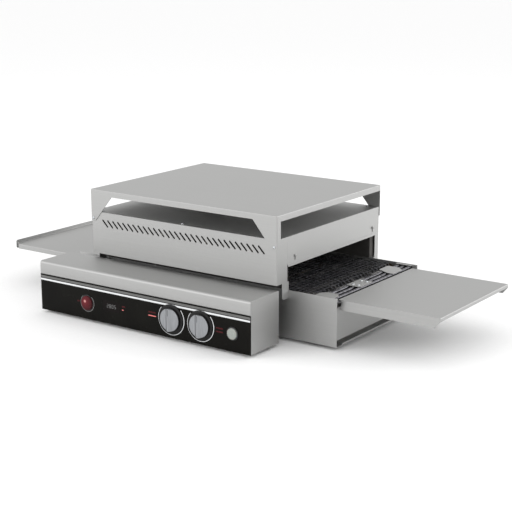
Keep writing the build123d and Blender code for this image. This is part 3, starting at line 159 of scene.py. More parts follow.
# ================================================================ finishes
def satin_stainless():
    """Cold-rolled 304 stainless, satin brushed along the belt: soft pale reflections and faint long streaks.
    The real brush lines are 0.1 mm wide, so they are drawn 1.5 mm wide to show."""
    return grained("satin_stainless_sheet", {"Metallic": 1.0},
                   (160, 1.5, 1.5), ("#AAAAA9", "#B1B1B0"), (0.50, 0.58), 0.004)


def oven_dulled_steel():
    """Mill-finish stainless that has been through many heats: dark brownish grey with a dull sheen."""
    return grained("oven_dulled_steel_sheet", {"Metallic": 0.5},
                   (45, 45, 30), ("#403E3C", "#565452"), (0.60, 0.75), 0.01)


def bright_rolled_steel():
    """Bright-rolled reflector sheet: clear reflections broken by slow waves in the sheet."""
    return grained("bright_rolled_steel_sheet", {"Metallic": 1.0},
                   (60, 60, 60), ("#C4C2BE", "#D6D5D2"), (0.16, 0.24), 0.05, 1.0)


def heat_blackened_wire():
    """Drawn steel wire blackened by heat and oil: dark grey, with narrow highlights on each round."""
    return grained("heat_blackened_wire", {"Metallic": 1.0},
                   (14, 9, 14), ("#38383A", "#76757A"), (0.26, 0.40), 0.01)


def turned_steel():
    """Turned bright steel bar: fine rings round it from the lathe, drawn 0.8 mm apart to show."""
    return grained("turned_steel_bar", {"Metallic": 1.0},
                   (20, 0.8, 20), ("#8F8E8C", "#A5A4A2"), (0.22, 0.34), 0.01)


def zinc_plated_steel():
    """Bright zinc plate on pressed steel: cool silver with a faint cloudy bloom."""
    return grained("zinc_plated_steel", {"Metallic": 1.0},
                   (5, 5, 5), ("#C2C6CA", "#D9DBDC"), (0.18, 0.30), 0.01)


def oiled_chain_steel():
    """Case-hardened chain steel under a film of oil: dark brown-grey with wet highlights."""
    return grained("oiled_chain_steel", {"Metallic": 1.0, "Coat Weight": 0.4, "Coat Roughness": 0.15},
                   (6, 6, 6), ("#3A3632", "#5C5752"), (0.28, 0.42), 0.01)


def oxidised_tube_alloy():
    """Nickel alloy sheath of a heating tube, oxidised by its own heat: olive brown with paler patches."""
    return grained("oxidised_tube_alloy", {"Metallic": 0.7},
                   (18, 18, 18), ("#3B352D", "#5A5347"), (0.50, 0.68), 0.02)


def sintered_bronze():
    """Oil-filled sintered bronze: warm and matt, peppered with small dark pores."""
    return grained("sintered_bronze", {"Metallic": 1.0},
                   (0.9, 0.9, 0.9), ("#3A2E22", "#524333"), (0.50, 0.65), 0.05)


def foot_rubber():
    """Moulded black nitrile rubber: dull, with a dusty bloom."""
    return grained("moulded_nitrile_rubber", {"Sheen Weight": 0.15},
                   (3, 3, 3), ("#161616", "#262625"), (0.70, 0.85), 0.03)


def fired_steatite():
    """Fired steatite ceramic: chalky ivory with a fine dry grain."""
    return grained("fired_steatite", {"IOR": 1.55},
                   (1.2, 1.2, 1.2), ("#D9D2C2", "#ECE7DA"), (0.45, 0.60), 0.02)


def mineral_wool():
    """Needled mineral wool board: grey-green fibres, long and tangled, with no shine."""
    return grained("needled_mineral_wool", {"Sheen Weight": 0.3},
                   (9, 2, 1.5), ("#8C8A72", "#BDB99C"), (0.92, 1.0), 0.6, 6.0)


def black_panel_film():
    """Polyester front film printed black on its back: deep black under a clear, slightly rippled gloss."""
    return grained("black_polyester_film", {"IOR": 1.5, "Specular IOR Level": 0.07},
                   (70, 70, 70), ("#0E0D0B", "#13120F"), (0.22, 0.30), 0.02, 1.0)


def grey_printed_film():
    """The band of dark grey ink under the same polyester film."""
    return grained("grey_printed_film", {"IOR": 1.5, "Specular IOR Level": 0.2},
                   (30, 30, 3), ("#626261", "#6E6E6D"), (0.24, 0.32), 0.0, 1.0)


def chrome_plate():
    """Chromium plate on moulded plastic: a cool mirror with the softest haze of handling."""
    return grained("chromium_plate", {"Metallic": 1.0},
                   (25, 25, 4), ("#E4E6E8", "#EFF0F1"), (0.05, 0.12), 0.0, 1.0)


def smoked_acrylic():
    """Cast smoked acrylic over a display: near black, with a faint, clear reflection."""
    return grained("smoked_acrylic", {"IOR": 1.49, "Specular IOR Level": 0.09},
                   (40, 40, 40), ("#0C0909", "#15100F"), (0.05, 0.10), 0.0, 1.0)


def moulded_black_abs():
    """Injection-moulded black ABS with a spark-eroded mould texture, drawn 0.6 mm across to show."""
    return grained("moulded_black_abs", {"IOR": 1.53, "Specular IOR Level": 0.2},
                   (0.6, 0.6, 0.6), ("#0F0F0F", "#1A1A1A"), (0.32, 0.46), 0.02)


def silver_painted_dial():
    """Silver lacquer on a moulded dial cap: fine flake, satin, with faint upright brushing."""
    return grained("silver_lacquered_dial", {"Metallic": 0.85},
                   (0.9, 0.9, 24), ("#8F9194", "#A3A5A8"), (0.34, 0.44), 0.008)


def moulded_grey_plastic():
    """Glass-filled nylon of switch bodies and fans: dark grey with a hazy, slightly fibrous skin."""
    return grained("glass_filled_nylon", {"IOR": 1.53},
                   (2.5, 2.5, 2.5), ("#232425", "#34363A"), (0.42, 0.58), 0.02)


def button_bezel():
    """Anodised bezel of a push button: dark pewter grey, evenly satin."""
    return grained("anodised_button_bezel", {"Metallic": 0.9},
                   (4, 4, 4), ("#3A3A3B", "#4A4A4B"), (0.30, 0.40), 0.01)


def lit_red_lens():
    """Moulded red polycarbonate lens: deep red, lit by its small lamp and glowing brightest towards the upper
    left, with a painted pale highlight near the upper left.
    """
    material, tree, shader, place = new_surface("lit_red_polycarbonate", {"IOR": 1.58,
                                                                          "Specular IOR Level": 0.15,
                                                                          "Emission Strength": 0.8})
    add_grain(tree, shader, place, (3, 3, 3), ("#2A0508", "#3C0A0E"), (0.2, 0.3), 0.01)
    low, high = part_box("power_button")
    # The point that the lamp's red glow centres on; the pale spot round it is a painted highlight, not lamp
    # light.
    lamp = Vector(((low.x + high.x) / 2 - 5 * MM, low.y, (low.z + high.z) / 2 + 5 * MM))
    away = add_node(tree, "ShaderNodeVectorMath", {"operation": "DISTANCE", 1: lamp}, {0: place})
    # Painted highlight: pale within 1.5 mm of the point, fading out by 5 mm, painted into the emission.
    painted_highlight = add_node(tree, "ShaderNodeMapRange", {"From Min": 5 * MM, "From Max": 1.5 * MM},
                         {"Value": away.outputs["Value"]})
    glow = add_node(tree, "ShaderNodeMapRange", {"From Min": 24 * MM, "From Max": 4 * MM},
                    {"Value": away.outputs["Value"]})
    body = add_node(tree, "ShaderNodeMix", {"data_type": "RGBA", 6: linear("#120204"), 7: linear("#6A1622")},
                    {0: glow.outputs["Result"]})
    lit = add_node(tree, "ShaderNodeMix", {"data_type": "RGBA", 7: linear("#F2B4AE")},
                   {0: painted_highlight.outputs["Result"], 6: body.outputs[2]})
    tree.links.new(lit.outputs[2], shader.inputs["Emission Color"])
    return material


def lamp_red():
    """Small red indicator window, lit: an even pale red."""
    return grained("lit_red_window",
                   {"IOR": 1.49, "Emission Strength": 0.9, "Emission Color": linear("#D98A84"),
                    "Specular IOR Level": 0.15},
                   (2, 2, 2), ("#8A2A30", "#A03A40"), (0.25, 0.35))


def lamp_dim():
    """The same indicator window unlit: dark wine red under the film."""
    return grained("unlit_red_window", {"IOR": 1.49, "Specular IOR Level": 0.12},
                   (2, 2, 2), ("#3A0D10", "#4C1519"), (0.25, 0.35))


def display_digits_grey():
    """Display segments seen through smoked acrylic: mid grey, with a little light of their own."""
    return grained("display_segments",
                   {"IOR": 1.45, "Emission Strength": 0.6, "Emission Color": linear("#767676")},
                   (2, 2, 2), ("#4A4A4A", "#585858"), (0.3, 0.4))


def pale_polycarbonate():
    """Moulded pale grey-green polycarbonate of the start button: slightly waxy, light from within."""
    return grained("pale_moulded_polycarbonate",
                   {"IOR": 1.58, "Subsurface Weight": 0.15, "Subsurface Scale": 0.002},
                   (2, 2, 2), ("#8E918C", "#9EA29C"), (0.28, 0.38), 0.01)


def cast_alloy():
    """Pressure die-cast aluminium, shot-blasted: pale grey with a 0.8 mm pebbled skin."""
    return grained("blasted_cast_aluminium", {"Metallic": 1.0},
                   (0.8, 0.8, 0.8), ("#83868A", "#9DA0A4"), (0.48, 0.62), 0.06)


def terminal_nylon():
    """Natural nylon of a terminal block: milky ivory, a little translucent."""
    return grained("natural_moulded_nylon",
                   {"IOR": 1.53, "Subsurface Weight": 0.2, "Subsurface Scale": 0.003},
                   (4, 4, 4), ("#CFC8B4", "#DDD7C6"), (0.38, 0.50), 0.01)


def gland_nylon():
    """Black nylon of the cable gland, moulded with a plain satin skin."""
    return grained("moulded_black_nylon", {"IOR": 1.53},
                   (2, 2, 2), ("#141414", "#202020"), (0.36, 0.48), 0.02)


def pale_floor():
    """Matt painted floor: an even pale ground with a faint orange-peel."""
    return grained("matt_floor_paint", {"IOR": 1.4, "Specular IOR Level": 0.1},
                   (12, 12, 12), ("#FBFBFB", "#FDFDFD"), (0.85, 0.95), 0.02)


FINISH_OF_SLOT = {
    "stainless": satin_stainless, "inner_steel": oven_dulled_steel, "bright_steel": bright_rolled_steel,
    "belt_steel": heat_blackened_wire, "machined_steel": turned_steel, "zinc_steel": zinc_plated_steel,
    "chain_steel": oiled_chain_steel, "tube_alloy": oxidised_tube_alloy, "bronze": sintered_bronze,
    "foot_rubber": foot_rubber, "ceramic": fired_steatite, "mineral_wool": mineral_wool,
    "panel_black": black_panel_film, "chrome": chrome_plate, "display_plastic": smoked_acrylic,
    "knob_black": moulded_black_abs, "grip_silver": silver_painted_dial,
    "control_plastic": moulded_grey_plastic, "button_ring": button_bezel, "red_plastic": lit_red_lens,
    "pale_plastic": pale_polycarbonate, "cast_alloy": cast_alloy, "terminal_plastic": terminal_nylon,
    "gland_plastic": gland_nylon,
}
made_finishes = {}


def finish(maker):
    """The material that a finish function makes, made once."""
    if maker not in made_finishes:
        made_finishes[maker] = maker()
    return made_finishes[maker]


# ================================================================ mesh helpers
def hand_over(obj, nodes=(), body=None, slot=None, maker=None):
    """Gives a piece its finish, chosen from its slot unless a maker is named, and its body, and hides the CAD
    nodes that it stands for.
    """
    slot = slot or SLOT_OF[nodes[0]]
    body = body or BODY_OF[nodes[0]]
    if not obj.data.materials:
        obj.data.materials.append(finish(maker or FINISH_OF_SLOT[slot]))
    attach(obj, body)
    if nodes:
        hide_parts(*nodes)


def mesh_object(name, bm, smooth_degrees=35):
    """A scene object from a bmesh, smooth except at edges sharper than the given angle."""
    bmesh.ops.recalc_face_normals(bm, faces=bm.faces)
    mesh = bpy.data.meshes.new(name)
    bm.to_mesh(mesh)
    bm.free()
    mesh.shade_smooth()
    mesh.set_sharp_from_angle(angle=math.radians(smooth_degrees))
    obj = bpy.data.objects.new(name, mesh)
    bpy.context.scene.collection.objects.link(obj)
    return obj


def welded_copy(node):
    """A bmesh of a CAD node with its seams welded and its flat faces joined."""
    bm = bmesh.new()
    bm.from_mesh(NODES[node].data)
    bmesh.ops.remove_doubles(bm, verts=bm.verts, dist=0.001 * MM)
    bmesh.ops.dissolve_limit(bm, angle_limit=math.radians(0.5), verts=bm.verts, edges=bm.edges)
    return bm


def add_rounding(obj, width, segments, method="ANGLE", angle=40):
    """Rounds a piece's edges by a bevel that stays live on it."""
    rounding = obj.modifiers.new("edge_rounding", "BEVEL")
    rounding.width = width
    rounding.segments = segments
    rounding.limit_method = method
    rounding.angle_limit = math.radians(angle)
    rounding.use_clamp_overlap = method == "ANGLE"
    rounding.harden_normals = True
    rounding.loop_slide = False
    rounding.miter_outer = "MITER_ARC"


def rounded_node(node, width_mm):
    """A copy of a CAD node with all its sharp edges rounded, standing for the node."""
    obj = mesh_object(f"{node}_piece", welded_copy(node))
    add_rounding(obj, width_mm * MM, 3)
    hand_over(obj, (node,))


def islands(node):
    """The low and high corners of each separate solid of a CAD node."""
    bm = welded_copy(node)
    unseen = set(bm.verts)
    boxes = []
    while unseen:
        stack = [unseen.pop()]
        places = []
        while stack:
            vert = stack.pop()
            places.append(vert.co.copy())
            for edge in vert.link_edges:
                other = edge.other_vert(vert)
                if other in unseen:
                    unseen.remove(other)
                    stack.append(other)
        low = Vector(min(p[i] for p in places) for i in range(3))
        high = Vector(max(p[i] for p in places) for i in range(3))
        boxes.append((low, high))
    bm.free()
    return sorted(boxes, key=lambda box: tuple(box[0]))


def axis_place(middle, axis):
    """A matrix that turns local Z into the given axis and puts the origin at middle."""
    turn = Vector(axis).to_track_quat("Z", "Y").to_matrix().to_4x4()
    return Matrix.Translation(middle) @ turn


def turned(bm, profile, place, steps=48, lobes=0, lobe_depth=0.0):
    """Adds a turned form: profile is (radius, height) pairs from one end to the other, in metres.
    With lobes, every ring's radius waves by lobe_depth."""
    rings = []
    for radius, height in profile:
        ring = []
        count = steps if radius > 0 else 1
        for i in range(count):
            angle = 2 * math.pi * i / steps
            reach = radius + lobe_depth * math.cos(lobes * angle) if lobes and radius else radius
            point = Vector((reach * math.cos(angle), reach * math.sin(angle), height))
            ring.append(bm.verts.new(place @ point))
        rings.append(ring)
    for low, high in zip(rings, rings[1:]):
        for i in range(steps):
            j = (i + 1) % steps
            corners = [low[i % len(low)], low[j % len(low)], high[j % len(high)], high[i % len(high)]]
            unique = list(dict.fromkeys(corners))
            if len(unique) > 2:
                bm.faces.new(unique)
    for ring in (rings[0], rings[-1]):
        if len(ring) > 1:
            bm.faces.new(ring)


def skin(bm, rings):
    """Joins closed rings of vertices by four-sided faces, and closes the first and the last ring."""
    count = len(rings[0])
    for near, far in zip(rings, rings[1:]):
        for i in range(count):
            j = (i + 1) % count
            bm.faces.new((near[i], near[j], far[j], far[i]))
    bm.faces.new(rings[0])
    bm.faces.new(rings[-1])


def prism(bm, corners, depth):
    """Adds a solid: a flat outline of corners pushed along the depth vector."""
    near = [bm.verts.new(corner) for corner in corners]
    far = [bm.verts.new(Vector(corner) + Vector(depth)) for corner in corners]
    skin(bm, (near, far))


def stadium(start, end, radius, steps=8):
    """The outline of a link plate: two half circles joined by straight sides, in one flat plane (x, z)."""
    along = (end - start).normalized()
    across = Vector((-along.y, along.x))
    points = []
    for middle, way in ((end, 1), (start, -1)):
        for i in range(steps + 1):
            angle = math.pi * i / steps - math.pi / 2
            out = along * (math.cos(angle) * way) + across * (math.sin(angle) * way)
            points.append(middle + out * radius)
    return points


def wires(name, paths, radius):
    """One mesh of round wires along straight-run paths."""
    curve = bpy.data.curves.new(name, "CURVE")
    curve.dimensions = "3D"
    curve.bevel_depth = radius
    curve.bevel_resolution = 1
    curve.use_fill_caps = True
    for path in paths:
        spline = curve.splines.new("POLY")
        spline.points.add(len(path) - 1)
        spline.points.foreach_set("co", [c for point in path for c in (*point, 1.0)])
    holder = bpy.data.objects.new(name, curve)
    bpy.context.scene.collection.objects.link(holder)
    bpy.context.view_layer.update()
    mesh = bpy.data.meshes.new_from_object(holder.evaluated_get(bpy.context.evaluated_depsgraph_get()))
    bpy.data.objects.remove(holder)
    mesh.name = name
    mesh.materials.clear()
    mesh.shade_smooth()
    mesh.set_sharp_from_angle(angle=math.radians(70))
    obj = bpy.data.objects.new(name, mesh)
    bpy.context.scene.collection.objects.link(obj)
    return obj


# ================================================================ sizes and colours a user would change
def distance(name, description, default_mm):
    """A length that a user may change, shown in the scene's own units."""
    return bpy.props.FloatProperty(name=name, description=description, default=default_mm * MM, min=0.0,
                                   unit="LENGTH", subtype="DISTANCE", precision=5)


class OVEN_PG_sheet(bpy.types.PropertyGroup):
    """Sizes of the folded sheet."""
    bend: distance("Bend radius", "Outer radius of a folded edge", 2.2)
    inside_bend: distance("Inside radius", "Inner radius of a folded edge", 0.7)
    cut: distance("Edge break", "Rounding of a cut and deburred edge", 0.25)
    thickness: distance("Thickness", "Thickness of the folded sheet", 1.5)


class OVEN_PG_belt(bpy.types.PropertyGroup):
    """Sizes of the woven wire belt."""
    rod_spacing: distance("Rod spacing", "Distance between cross rods along the belt", 14.0)
    spiral_spacing: distance("Spiral spacing", "Distance between turns of a spiral across the belt", 16.0)
    rod_width: distance("Rod diameter", "Diameter of a cross rod", 0.8)
    wire_width: distance("Wire diameter", "Diameter of a spiral's wire", 1.35)
    row_shift: bpy.props.FloatProperty(name="Row shift", description="How far each row sits from the one "
                                       "before, in spiral spacings", default=0.32, min=0.0, max=1.0)


class OVEN_PG_controls(bpy.types.PropertyGroup):
    """Sizes of the details on the front panel."""
    chrome_line: distance("Chrome line", "Height of the bright line under the panel's top edge", 5.0)
    grey_band: distance("Grey band", "Height of the grey band above the bright line", 6.0)
    digit_height: distance("Digit height", "Height of the digits in the display", 9.0)
    lamp_height: distance("Lamp height", "Height of an indicator window", 3.6)


class OVEN_PG_stage(bpy.types.PropertyGroup):
    """Camera and light."""
    azimuth: bpy.props.FloatProperty(name="Azimuth", description="Camera's turn round the oven",
                                     default=math.radians(35.36), unit="ROTATION", subtype="ANGLE")
    pitch: bpy.props.FloatProperty(name="Pitch", description="How far the camera looks down",
                                   default=math.radians(14.02), unit="ROTATION", subtype="ANGLE")
    eye: bpy.props.FloatVectorProperty(name="Eye", description="Where the camera stands",
                                       default=(1.9611, -2.6394, 0.9734), unit="LENGTH",
                                       subtype="TRANSLATION")
    lens: bpy.props.FloatProperty(name="Focal length", description="The lens on a 36 mm wide sensor",
                                  default=89.3, unit="CAMERA")
    sky: bpy.props.FloatProperty(name="Sky light", description="Strength of the even white surroundings",
                                 default=1.0, min=0.0, subtype="FACTOR")


# ================================================================ sheet metal
SHEET_FINISHES = (satin_stainless, oven_dulled_steel, bright_rolled_steel)


def room_beside(tree, edge, convex):
    """Least and middle distance, over five places on an edge, to the next surface behind each of its faces:
    through the metal at an outer edge, across the space at an inner one."""
    start, end = (vert.co for vert in edge.verts)
    length = (end - start).length
    near_end = min(0.5 * MM, 0.1 * length)
    normals = [face.normal for face in edge.link_faces]
    way = -1 if convex else 1
    found = []
    for distance in (near_end, 0.25 * length, 0.5 * length, 0.75 * length, length - near_end):
        point = start.lerp(end, distance / length) + way * 0.05 * MM * (normals[0] + normals[1])
        reaches = []
        for normal in normals:
            hit = tree.ray_cast(point, way * normal, 0.1)
            reaches.append(hit[3] if hit[3] is not None else 0.1)
        found.append(min(reaches))
    found.sort()
    return found[0], found[2]


def mark_bends(bm, sheet):
    """Weights each sharp edge for its rounding: outer bend, inner bend or cut edge."""
    weight = bm.edges.layers.float.new("bevel_weight_edge")
    tree = BVHTree.FromBMesh(bm)
    folded = 2.2 * sheet.thickness
    for edge in bm.edges:
        if edge.calc_face_angle(0) < math.radians(40):
            continue
        least, middle = room_beside(tree, edge, edge.is_convex)
        if middle < folded:
            radius = sheet.cut
        else:
            radius = sheet.bend if edge.is_convex else sheet.inside_bend
        edge[weight] = min(radius, 0.4 * least) / sheet.bend


class OVEN_OT_sheet_metal(bpy.types.Operator):
    """Folds every sheet part: rounded bends, deburred cut edges"""
    bl_idname = "oven.sheet_metal"
    bl_label = "Sheet metal"

    def execute(self, context):
        sheet = context.scene.oven_sheet
        for node in NODES:
            if node in EDGE_ROUNDING_MM or FINISH_OF_SLOT[SLOT_OF[node]] not in SHEET_FINISHES:
                continue
            bm = welded_copy(node)
            bmesh.ops.recalc_face_normals(bm, faces=bm.faces)
            mark_bends(bm, sheet)
            obj = mesh_object(f"{node}_sheet", bm)
            add_rounding(obj, sheet.bend, 3, method="WEIGHT")
            hand_over(obj, (node,))
        return {"FINISHED"}


# ================================================================ belt
def belt_path(belt):
    """The belt's centre line as a function from distance to (x, z), and its whole length."""
    low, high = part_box("conveyor_belt")
    half_height = (high.z - low.z) / 2
    radius = half_height - belt.wire_width - belt.rod_width / 2
    reach = high.x - half_height
    middle = (low.z + high.z) / 2
    straight, turn = 2 * reach, math.pi * radius

    def place(distance):
        distance %= 2 * (straight + turn)
        side = 1 if distance < straight + turn else -1
        along = distance if side > 0 else distance - straight - turn
        if along < straight:
            return Vector((side * (along - reach), middle + side * radius))
        angle = (along - straight) / radius
        return Vector((side * (reach + radius * math.sin(angle)), middle + side * radius * math.cos(angle)))

    return place, 2 * (straight + turn)


class OVEN_OT_woven_belt(bpy.types.Operator):
    """Weaves the conveyor belt: flattened wire spirals linked by cross rods"""
    bl_idname = "oven.woven_belt"
    bl_label = "Woven belt"

    def execute(self, context):
        belt = context.scene.oven_belt
        place, length = belt_path(belt)
        low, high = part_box("conveyor_belt")
        rows = round(length / belt.rod_spacing)
        step = length / rows
        end_margin = 2 * MM
        turns = int((high.y - low.y - 2 * end_margin) / belt.spiral_spacing) - 1
        wrap = (belt.rod_width + belt.wire_width) / 2
        rods, spirals = [], []
        for row in range(rows):
            start, end = place(row * step), place((row + 1) * step)
            along = (end - start).normalized()
            out = Vector((-along.y, along.x))
            span = (end - start).length
            rods.append([(start.x, low.y, start.y), (start.x, high.y, start.y)])
            # One turn: over the first rod, across to the next one, round it and back underneath.
            turn = ((-wrap, 0, 0.0), (0, wrap, 0.10), (span, wrap, 0.42),
                    (span + wrap, 0, 0.50), (span, -wrap, 0.60), (0, -wrap, 0.92))
            shift = row * belt.row_shift % 1
            path = []
            for i in range(turns):
                for reach, rise, share in turn:
                    x, z = start + along * reach + out * rise
                    path.append((x, high.y - end_margin - (i + share + shift) * belt.spiral_spacing, z))
            spirals.append(path)
        cross_rods = wires("belt_cross_rods", rods, belt.rod_width / 2)
        weave = wires("belt_wire_spirals", spirals, belt.wire_width / 2)
        hand_over(weave, ("conveyor_belt",))
        hand_over(cross_rods, body=BODY_OF["conveyor_belt"], slot="belt_steel")
        return {"FINISHED"}


# ================================================================ machined, cast and moulded parts
EDGE_ROUNDING_MM = {
    "left_side_panel": 0.4, "right_side_panel": 0.4, "nose_brackets": 0.3, "belt_support_bars": 0.5,
    "belt_cross_bars": 0.5, "drive_sprockets": 0.4, "idler_sprockets": 0.4, "drive_shaft": 0.8,
    "idler_shaft": 0.8, "shaft_bushes": 0.4, "nose_rods": 0.8, "shaft_chain_sprocket": 0.4,
    "motor_sprocket": 0.4, "temp_spindle": 0.4, "speed_spindle": 0.4, "temp_grip": 0.7,
    "speed_grip": 0.7, "thermostat": 1.2, "speed_control": 1.2, "fan_frame": 0.8, "fan_rotor": 0.4,
    "contactor": 1.0, "button_bodies": 0.6, "power_button": 0.4, "start_button": 0.4,
    "gear_motor": 1.6, "terminal_block": 0.8, "cable_gland": 0.7, "tube_glands": 0.5,
    "display_unit": 0.4, "control_panel": 0.5, "lower_heating_tubes": 0.6, "upper_heating_tubes": 0.6,
}


class OVEN_OT_solid_parts(bpy.types.Operator):
    """Rounds the edges of the machined, cast and moulded parts"""
    bl_idname = "oven.solid_parts"
    bl_label = "Solid parts"

    def execute(self, context):
        for node, width in EDGE_ROUNDING_MM.items():
            rounded_node(node, width)
        return {"FINISHED"}


class OVEN_OT_heating_terminals(bpy.types.Operator):
    """Puts a stud, two nuts and a ceramic bead on each end of the heating tubes"""
    bl_idname = "oven.heating_terminals"
    bl_label = "Heating tube terminals"

    def execute(self, context):
        studs, beads = bmesh.new(), bmesh.new()
        for gland_low, gland_high in islands("tube_glands"):
            middle = (gland_low + gland_high) / 2
            level = "lower" if middle.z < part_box("chamber_liner")[0].z else "upper"
            end = Vector((middle.x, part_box(f"{level}_heating_tubes")[0].y, middle.z))
            place = axis_place(end, (0, -1, 0))
            turned(beads, [(0, 0), (3.4 * MM, 0), (4.2 * MM, 0.8 * MM), (4.2 * MM, 3.6 * MM),
                           (3.0 * MM, 4.6 * MM), (0, 4.6 * MM)], place, 24)
            # The round stud, then the two hexagon nuts on it: start, radius and end in mm, and sides.
            for start, radius, stop, sides in ((4.6, 2.0, 13.6, 20), (5.2, 3.6, 7.8, 6), (8.6, 3.6, 11.2, 6)):
                turned(studs, [(0, start * MM), (radius * MM, start * MM), (radius * MM, stop * MM),
                               (0, stop * MM)], place, sides)
        stud_piece = mesh_object("heating_tube_studs", studs)
        add_rounding(stud_piece, 0.25 * MM, 2)
        hand_over(stud_piece, body="oven", slot="zinc_steel")
        hand_over(mesh_object("heating_tube_beads", beads), body="oven", slot="ceramic")
        return {"FINISHED"}


class OVEN_OT_feet(bpy.types.Operator):
    """Moulds the rubber feet, with a dished underside and a ribbed skirt"""
    bl_idname = "oven.feet"
    bl_label = "Feet"

    def execute(self, context):
        bm = bmesh.new()
        for low, high in islands("feet"):
            middle = Vector(((low.x + high.x) / 2, (low.y + high.y) / 2, low.z))
            radius = (high.x - low.x) / 2
            stem_top = high.z - low.z
            sole = radius - 2.2 * MM
            profile = [(0, 1.0 * MM), (radius - 6 * MM, 0.8 * MM), (radius - 3.6 * MM, 0), (sole, 0.3 * MM)]
            for rib in range(3):
                base = (1.2 + 2.1 * rib) * MM
                face = sole + (rib + 1) * 0.55 * MM
                profile += [(face, base), (face, base + 1.3 * MM), (face - 0.7 * MM, base + 1.6 * MM)]
            stem = 4 * MM
            profile += [(radius - 1.4 * MM, 7.9 * MM), (stem, 8 * MM), (stem, stem_top), (0, stem_top)]
            turned(bm, profile, Matrix.Translation(middle), 40)
        hand_over(mesh_object("rubber_feet", bm, 30), ("feet",))
        return {"FINISHED"}


class OVEN_OT_insulation(bpy.types.Operator):
    """Lays the mineral wool boards, slightly compressed and uneven"""
    bl_idname = "oven.insulation"
    bl_label = "Insulation"

    def execute(self, context):
        bm = welded_copy("insulation")
        bmesh.ops.triangulate(bm, faces=bm.faces)
        cell = 30 * MM
        for _ in range(5):
            long_edges = [e for e in bm.edges if e.calc_length() > cell]
            if not long_edges:
                break
            bmesh.ops.subdivide_edges(bm, edges=long_edges, cuts=1, use_grid_fill=True)
        bmesh.ops.recalc_face_normals(bm, faces=bm.faces)
        bm.normal_update()
        sink_depth = 1.6 * MM
        for vert in bm.verts:
            sink = (noise.noise(vert.co / (25 * MM)) + 1) / 2 * sink_depth
            vert.co -= vert.normal * (0.3 * MM + sink)
        hand_over(mesh_object("insulation_boards", bm, 60), ("insulation",))
        return {"FINISHED"}


# ================================================================ drive and fan
class OVEN_OT_drive_chain(bpy.types.Operator):
    """Links the roller chain round its two sprockets"""
    bl_idname = "oven.drive_chain"
    bl_label = "Drive chain"

    def execute(self, context):
        big_low, big_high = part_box("shaft_chain_sprocket")
        chain_low, chain_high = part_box("drive_chain")
        plate_reach = 4.1 * MM
        pitch = 9.525 * MM
        big = Vector(((big_low.x + big_high.x) / 2, (big_low.z + big_high.z) / 2))
        big_radius = big.x - chain_low.x - plate_reach
        small_teeth = 10
        small_radius = pitch / (2 * math.sin(math.pi / small_teeth))
        small = Vector((chain_high.x - plate_reach - small_radius, chain_low.z + plate_reach + small_radius))
        line = small - big
        heading = math.atan2(line.y, line.x)
        lean = math.acos((big_radius - small_radius) / line.length)
        run = math.sqrt(line.length ** 2 - (big_radius - small_radius) ** 2)
        big_arc = big_radius * (2 * math.pi - 2 * lean)
        small_arc = small_radius * 2 * lean
        length = 2 * run + big_arc + small_arc
        links = 2 * round(length / pitch / 2)

        def place(distance):
            distance %= length
            if distance < run:
                side, out_angle, share = 1, heading + lean, distance / run
            elif distance < run + small_arc:
                angle = heading + lean - (distance - run) / small_radius
                return small + Vector((math.cos(angle), math.sin(angle))) * small_radius
            elif distance < 2 * run + small_arc:
                side, out_angle, share = -1, heading - lean, 1 - (distance - run - small_arc) / run
            else:
                angle = heading - lean - (distance - 2 * run - small_arc) / big_radius
                return big + Vector((math.cos(angle), math.sin(angle))) * big_radius
            out = Vector((math.cos(out_angle), math.sin(out_angle)))
            return (big + out * big_radius).lerp(small + out * small_radius, share)

        joints = [place(i * length / links) for i in range(links)]
        middle = (chain_low.y + chain_high.y) / 2
        half = (chain_high.y - chain_low.y) / 2
        plate = 0.85 * MM
        plates, rollers = bmesh.new(), bmesh.new()
        for i, start in enumerate(joints):
            end = joints[(i + 1) % links]
            # Inner and outer plates take turns; the outer ones lie one plate further out.
            outer_face = half if i % 2 else half - plate - 0.1 * MM
            corners = stadium(start, end, plate_reach * 0.94)
            for side in (-1, 1):
                y = middle + side * outer_face
                prism(plates, [(p.x, y, p.y) for p in corners], (0, -side * plate, 0))
            joint = axis_place(Vector((start.x, middle, start.y)), (0, 1, 0))
            # The roller between the plates and the pin through them: radius, half length and steps.
            for radius, reach, steps in ((3.1 * MM, half - 2.2 * plate, 20), (1.4 * MM, half + 0.1 * MM, 14)):
                turned(rollers, [(0, -reach), (radius, -reach), (radius, reach), (0, reach)], joint, steps)
        hand_over(mesh_object("chain_plates", plates), ("drive_chain",))
        hand_over(mesh_object("chain_rollers", rollers), body="oven", slot="chain_steel")
        return {"FINISHED"}


class OVEN_OT_motor_details(bpy.types.Operator):
    """Adds cooling fins and an end cap to the gear motor"""
    bl_idname = "oven.motor_details"
    bl_label = "Gear motor details"

    def execute(self, context):
        low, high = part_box("gear_motor")
        box_width = 60 * MM
        barrel_start = low.x + box_width
        boss = 3 * MM
        middle = Vector((barrel_start, (low.y + high.y - boss) / 2, high.z - box_width / 2))
        bm = bmesh.new()
        place = axis_place(middle, (1, 0, 0))
        radius = 20 * MM
        fin_pitch, fin = 5 * MM, 1.6 * MM
        length = high.x - barrel_start
        for i in range(int((length - 22 * MM) / fin_pitch)):
            start = 8 * MM + i * fin_pitch
            turned(bm, [(radius - 1 * MM, start), (radius + 3 * MM, start + 0.3 * MM),
                        (radius + 3 * MM, start + fin - 0.3 * MM), (radius - 1 * MM, start + fin)], place, 40)
        cap, cap_radius = length - 11 * MM, radius + 2 * MM
        end = length - 0.2 * MM
        turned(bm, [(radius - 1 * MM, cap), (cap_radius, cap + 0.6 * MM), (cap_radius, length - 2 * MM),
                    (radius - 0.5 * MM, end), (0, end)], place, 40)
        hand_over(mesh_object("motor_fins", bm), body="oven", slot="cast_alloy")
        return {"FINISHED"}


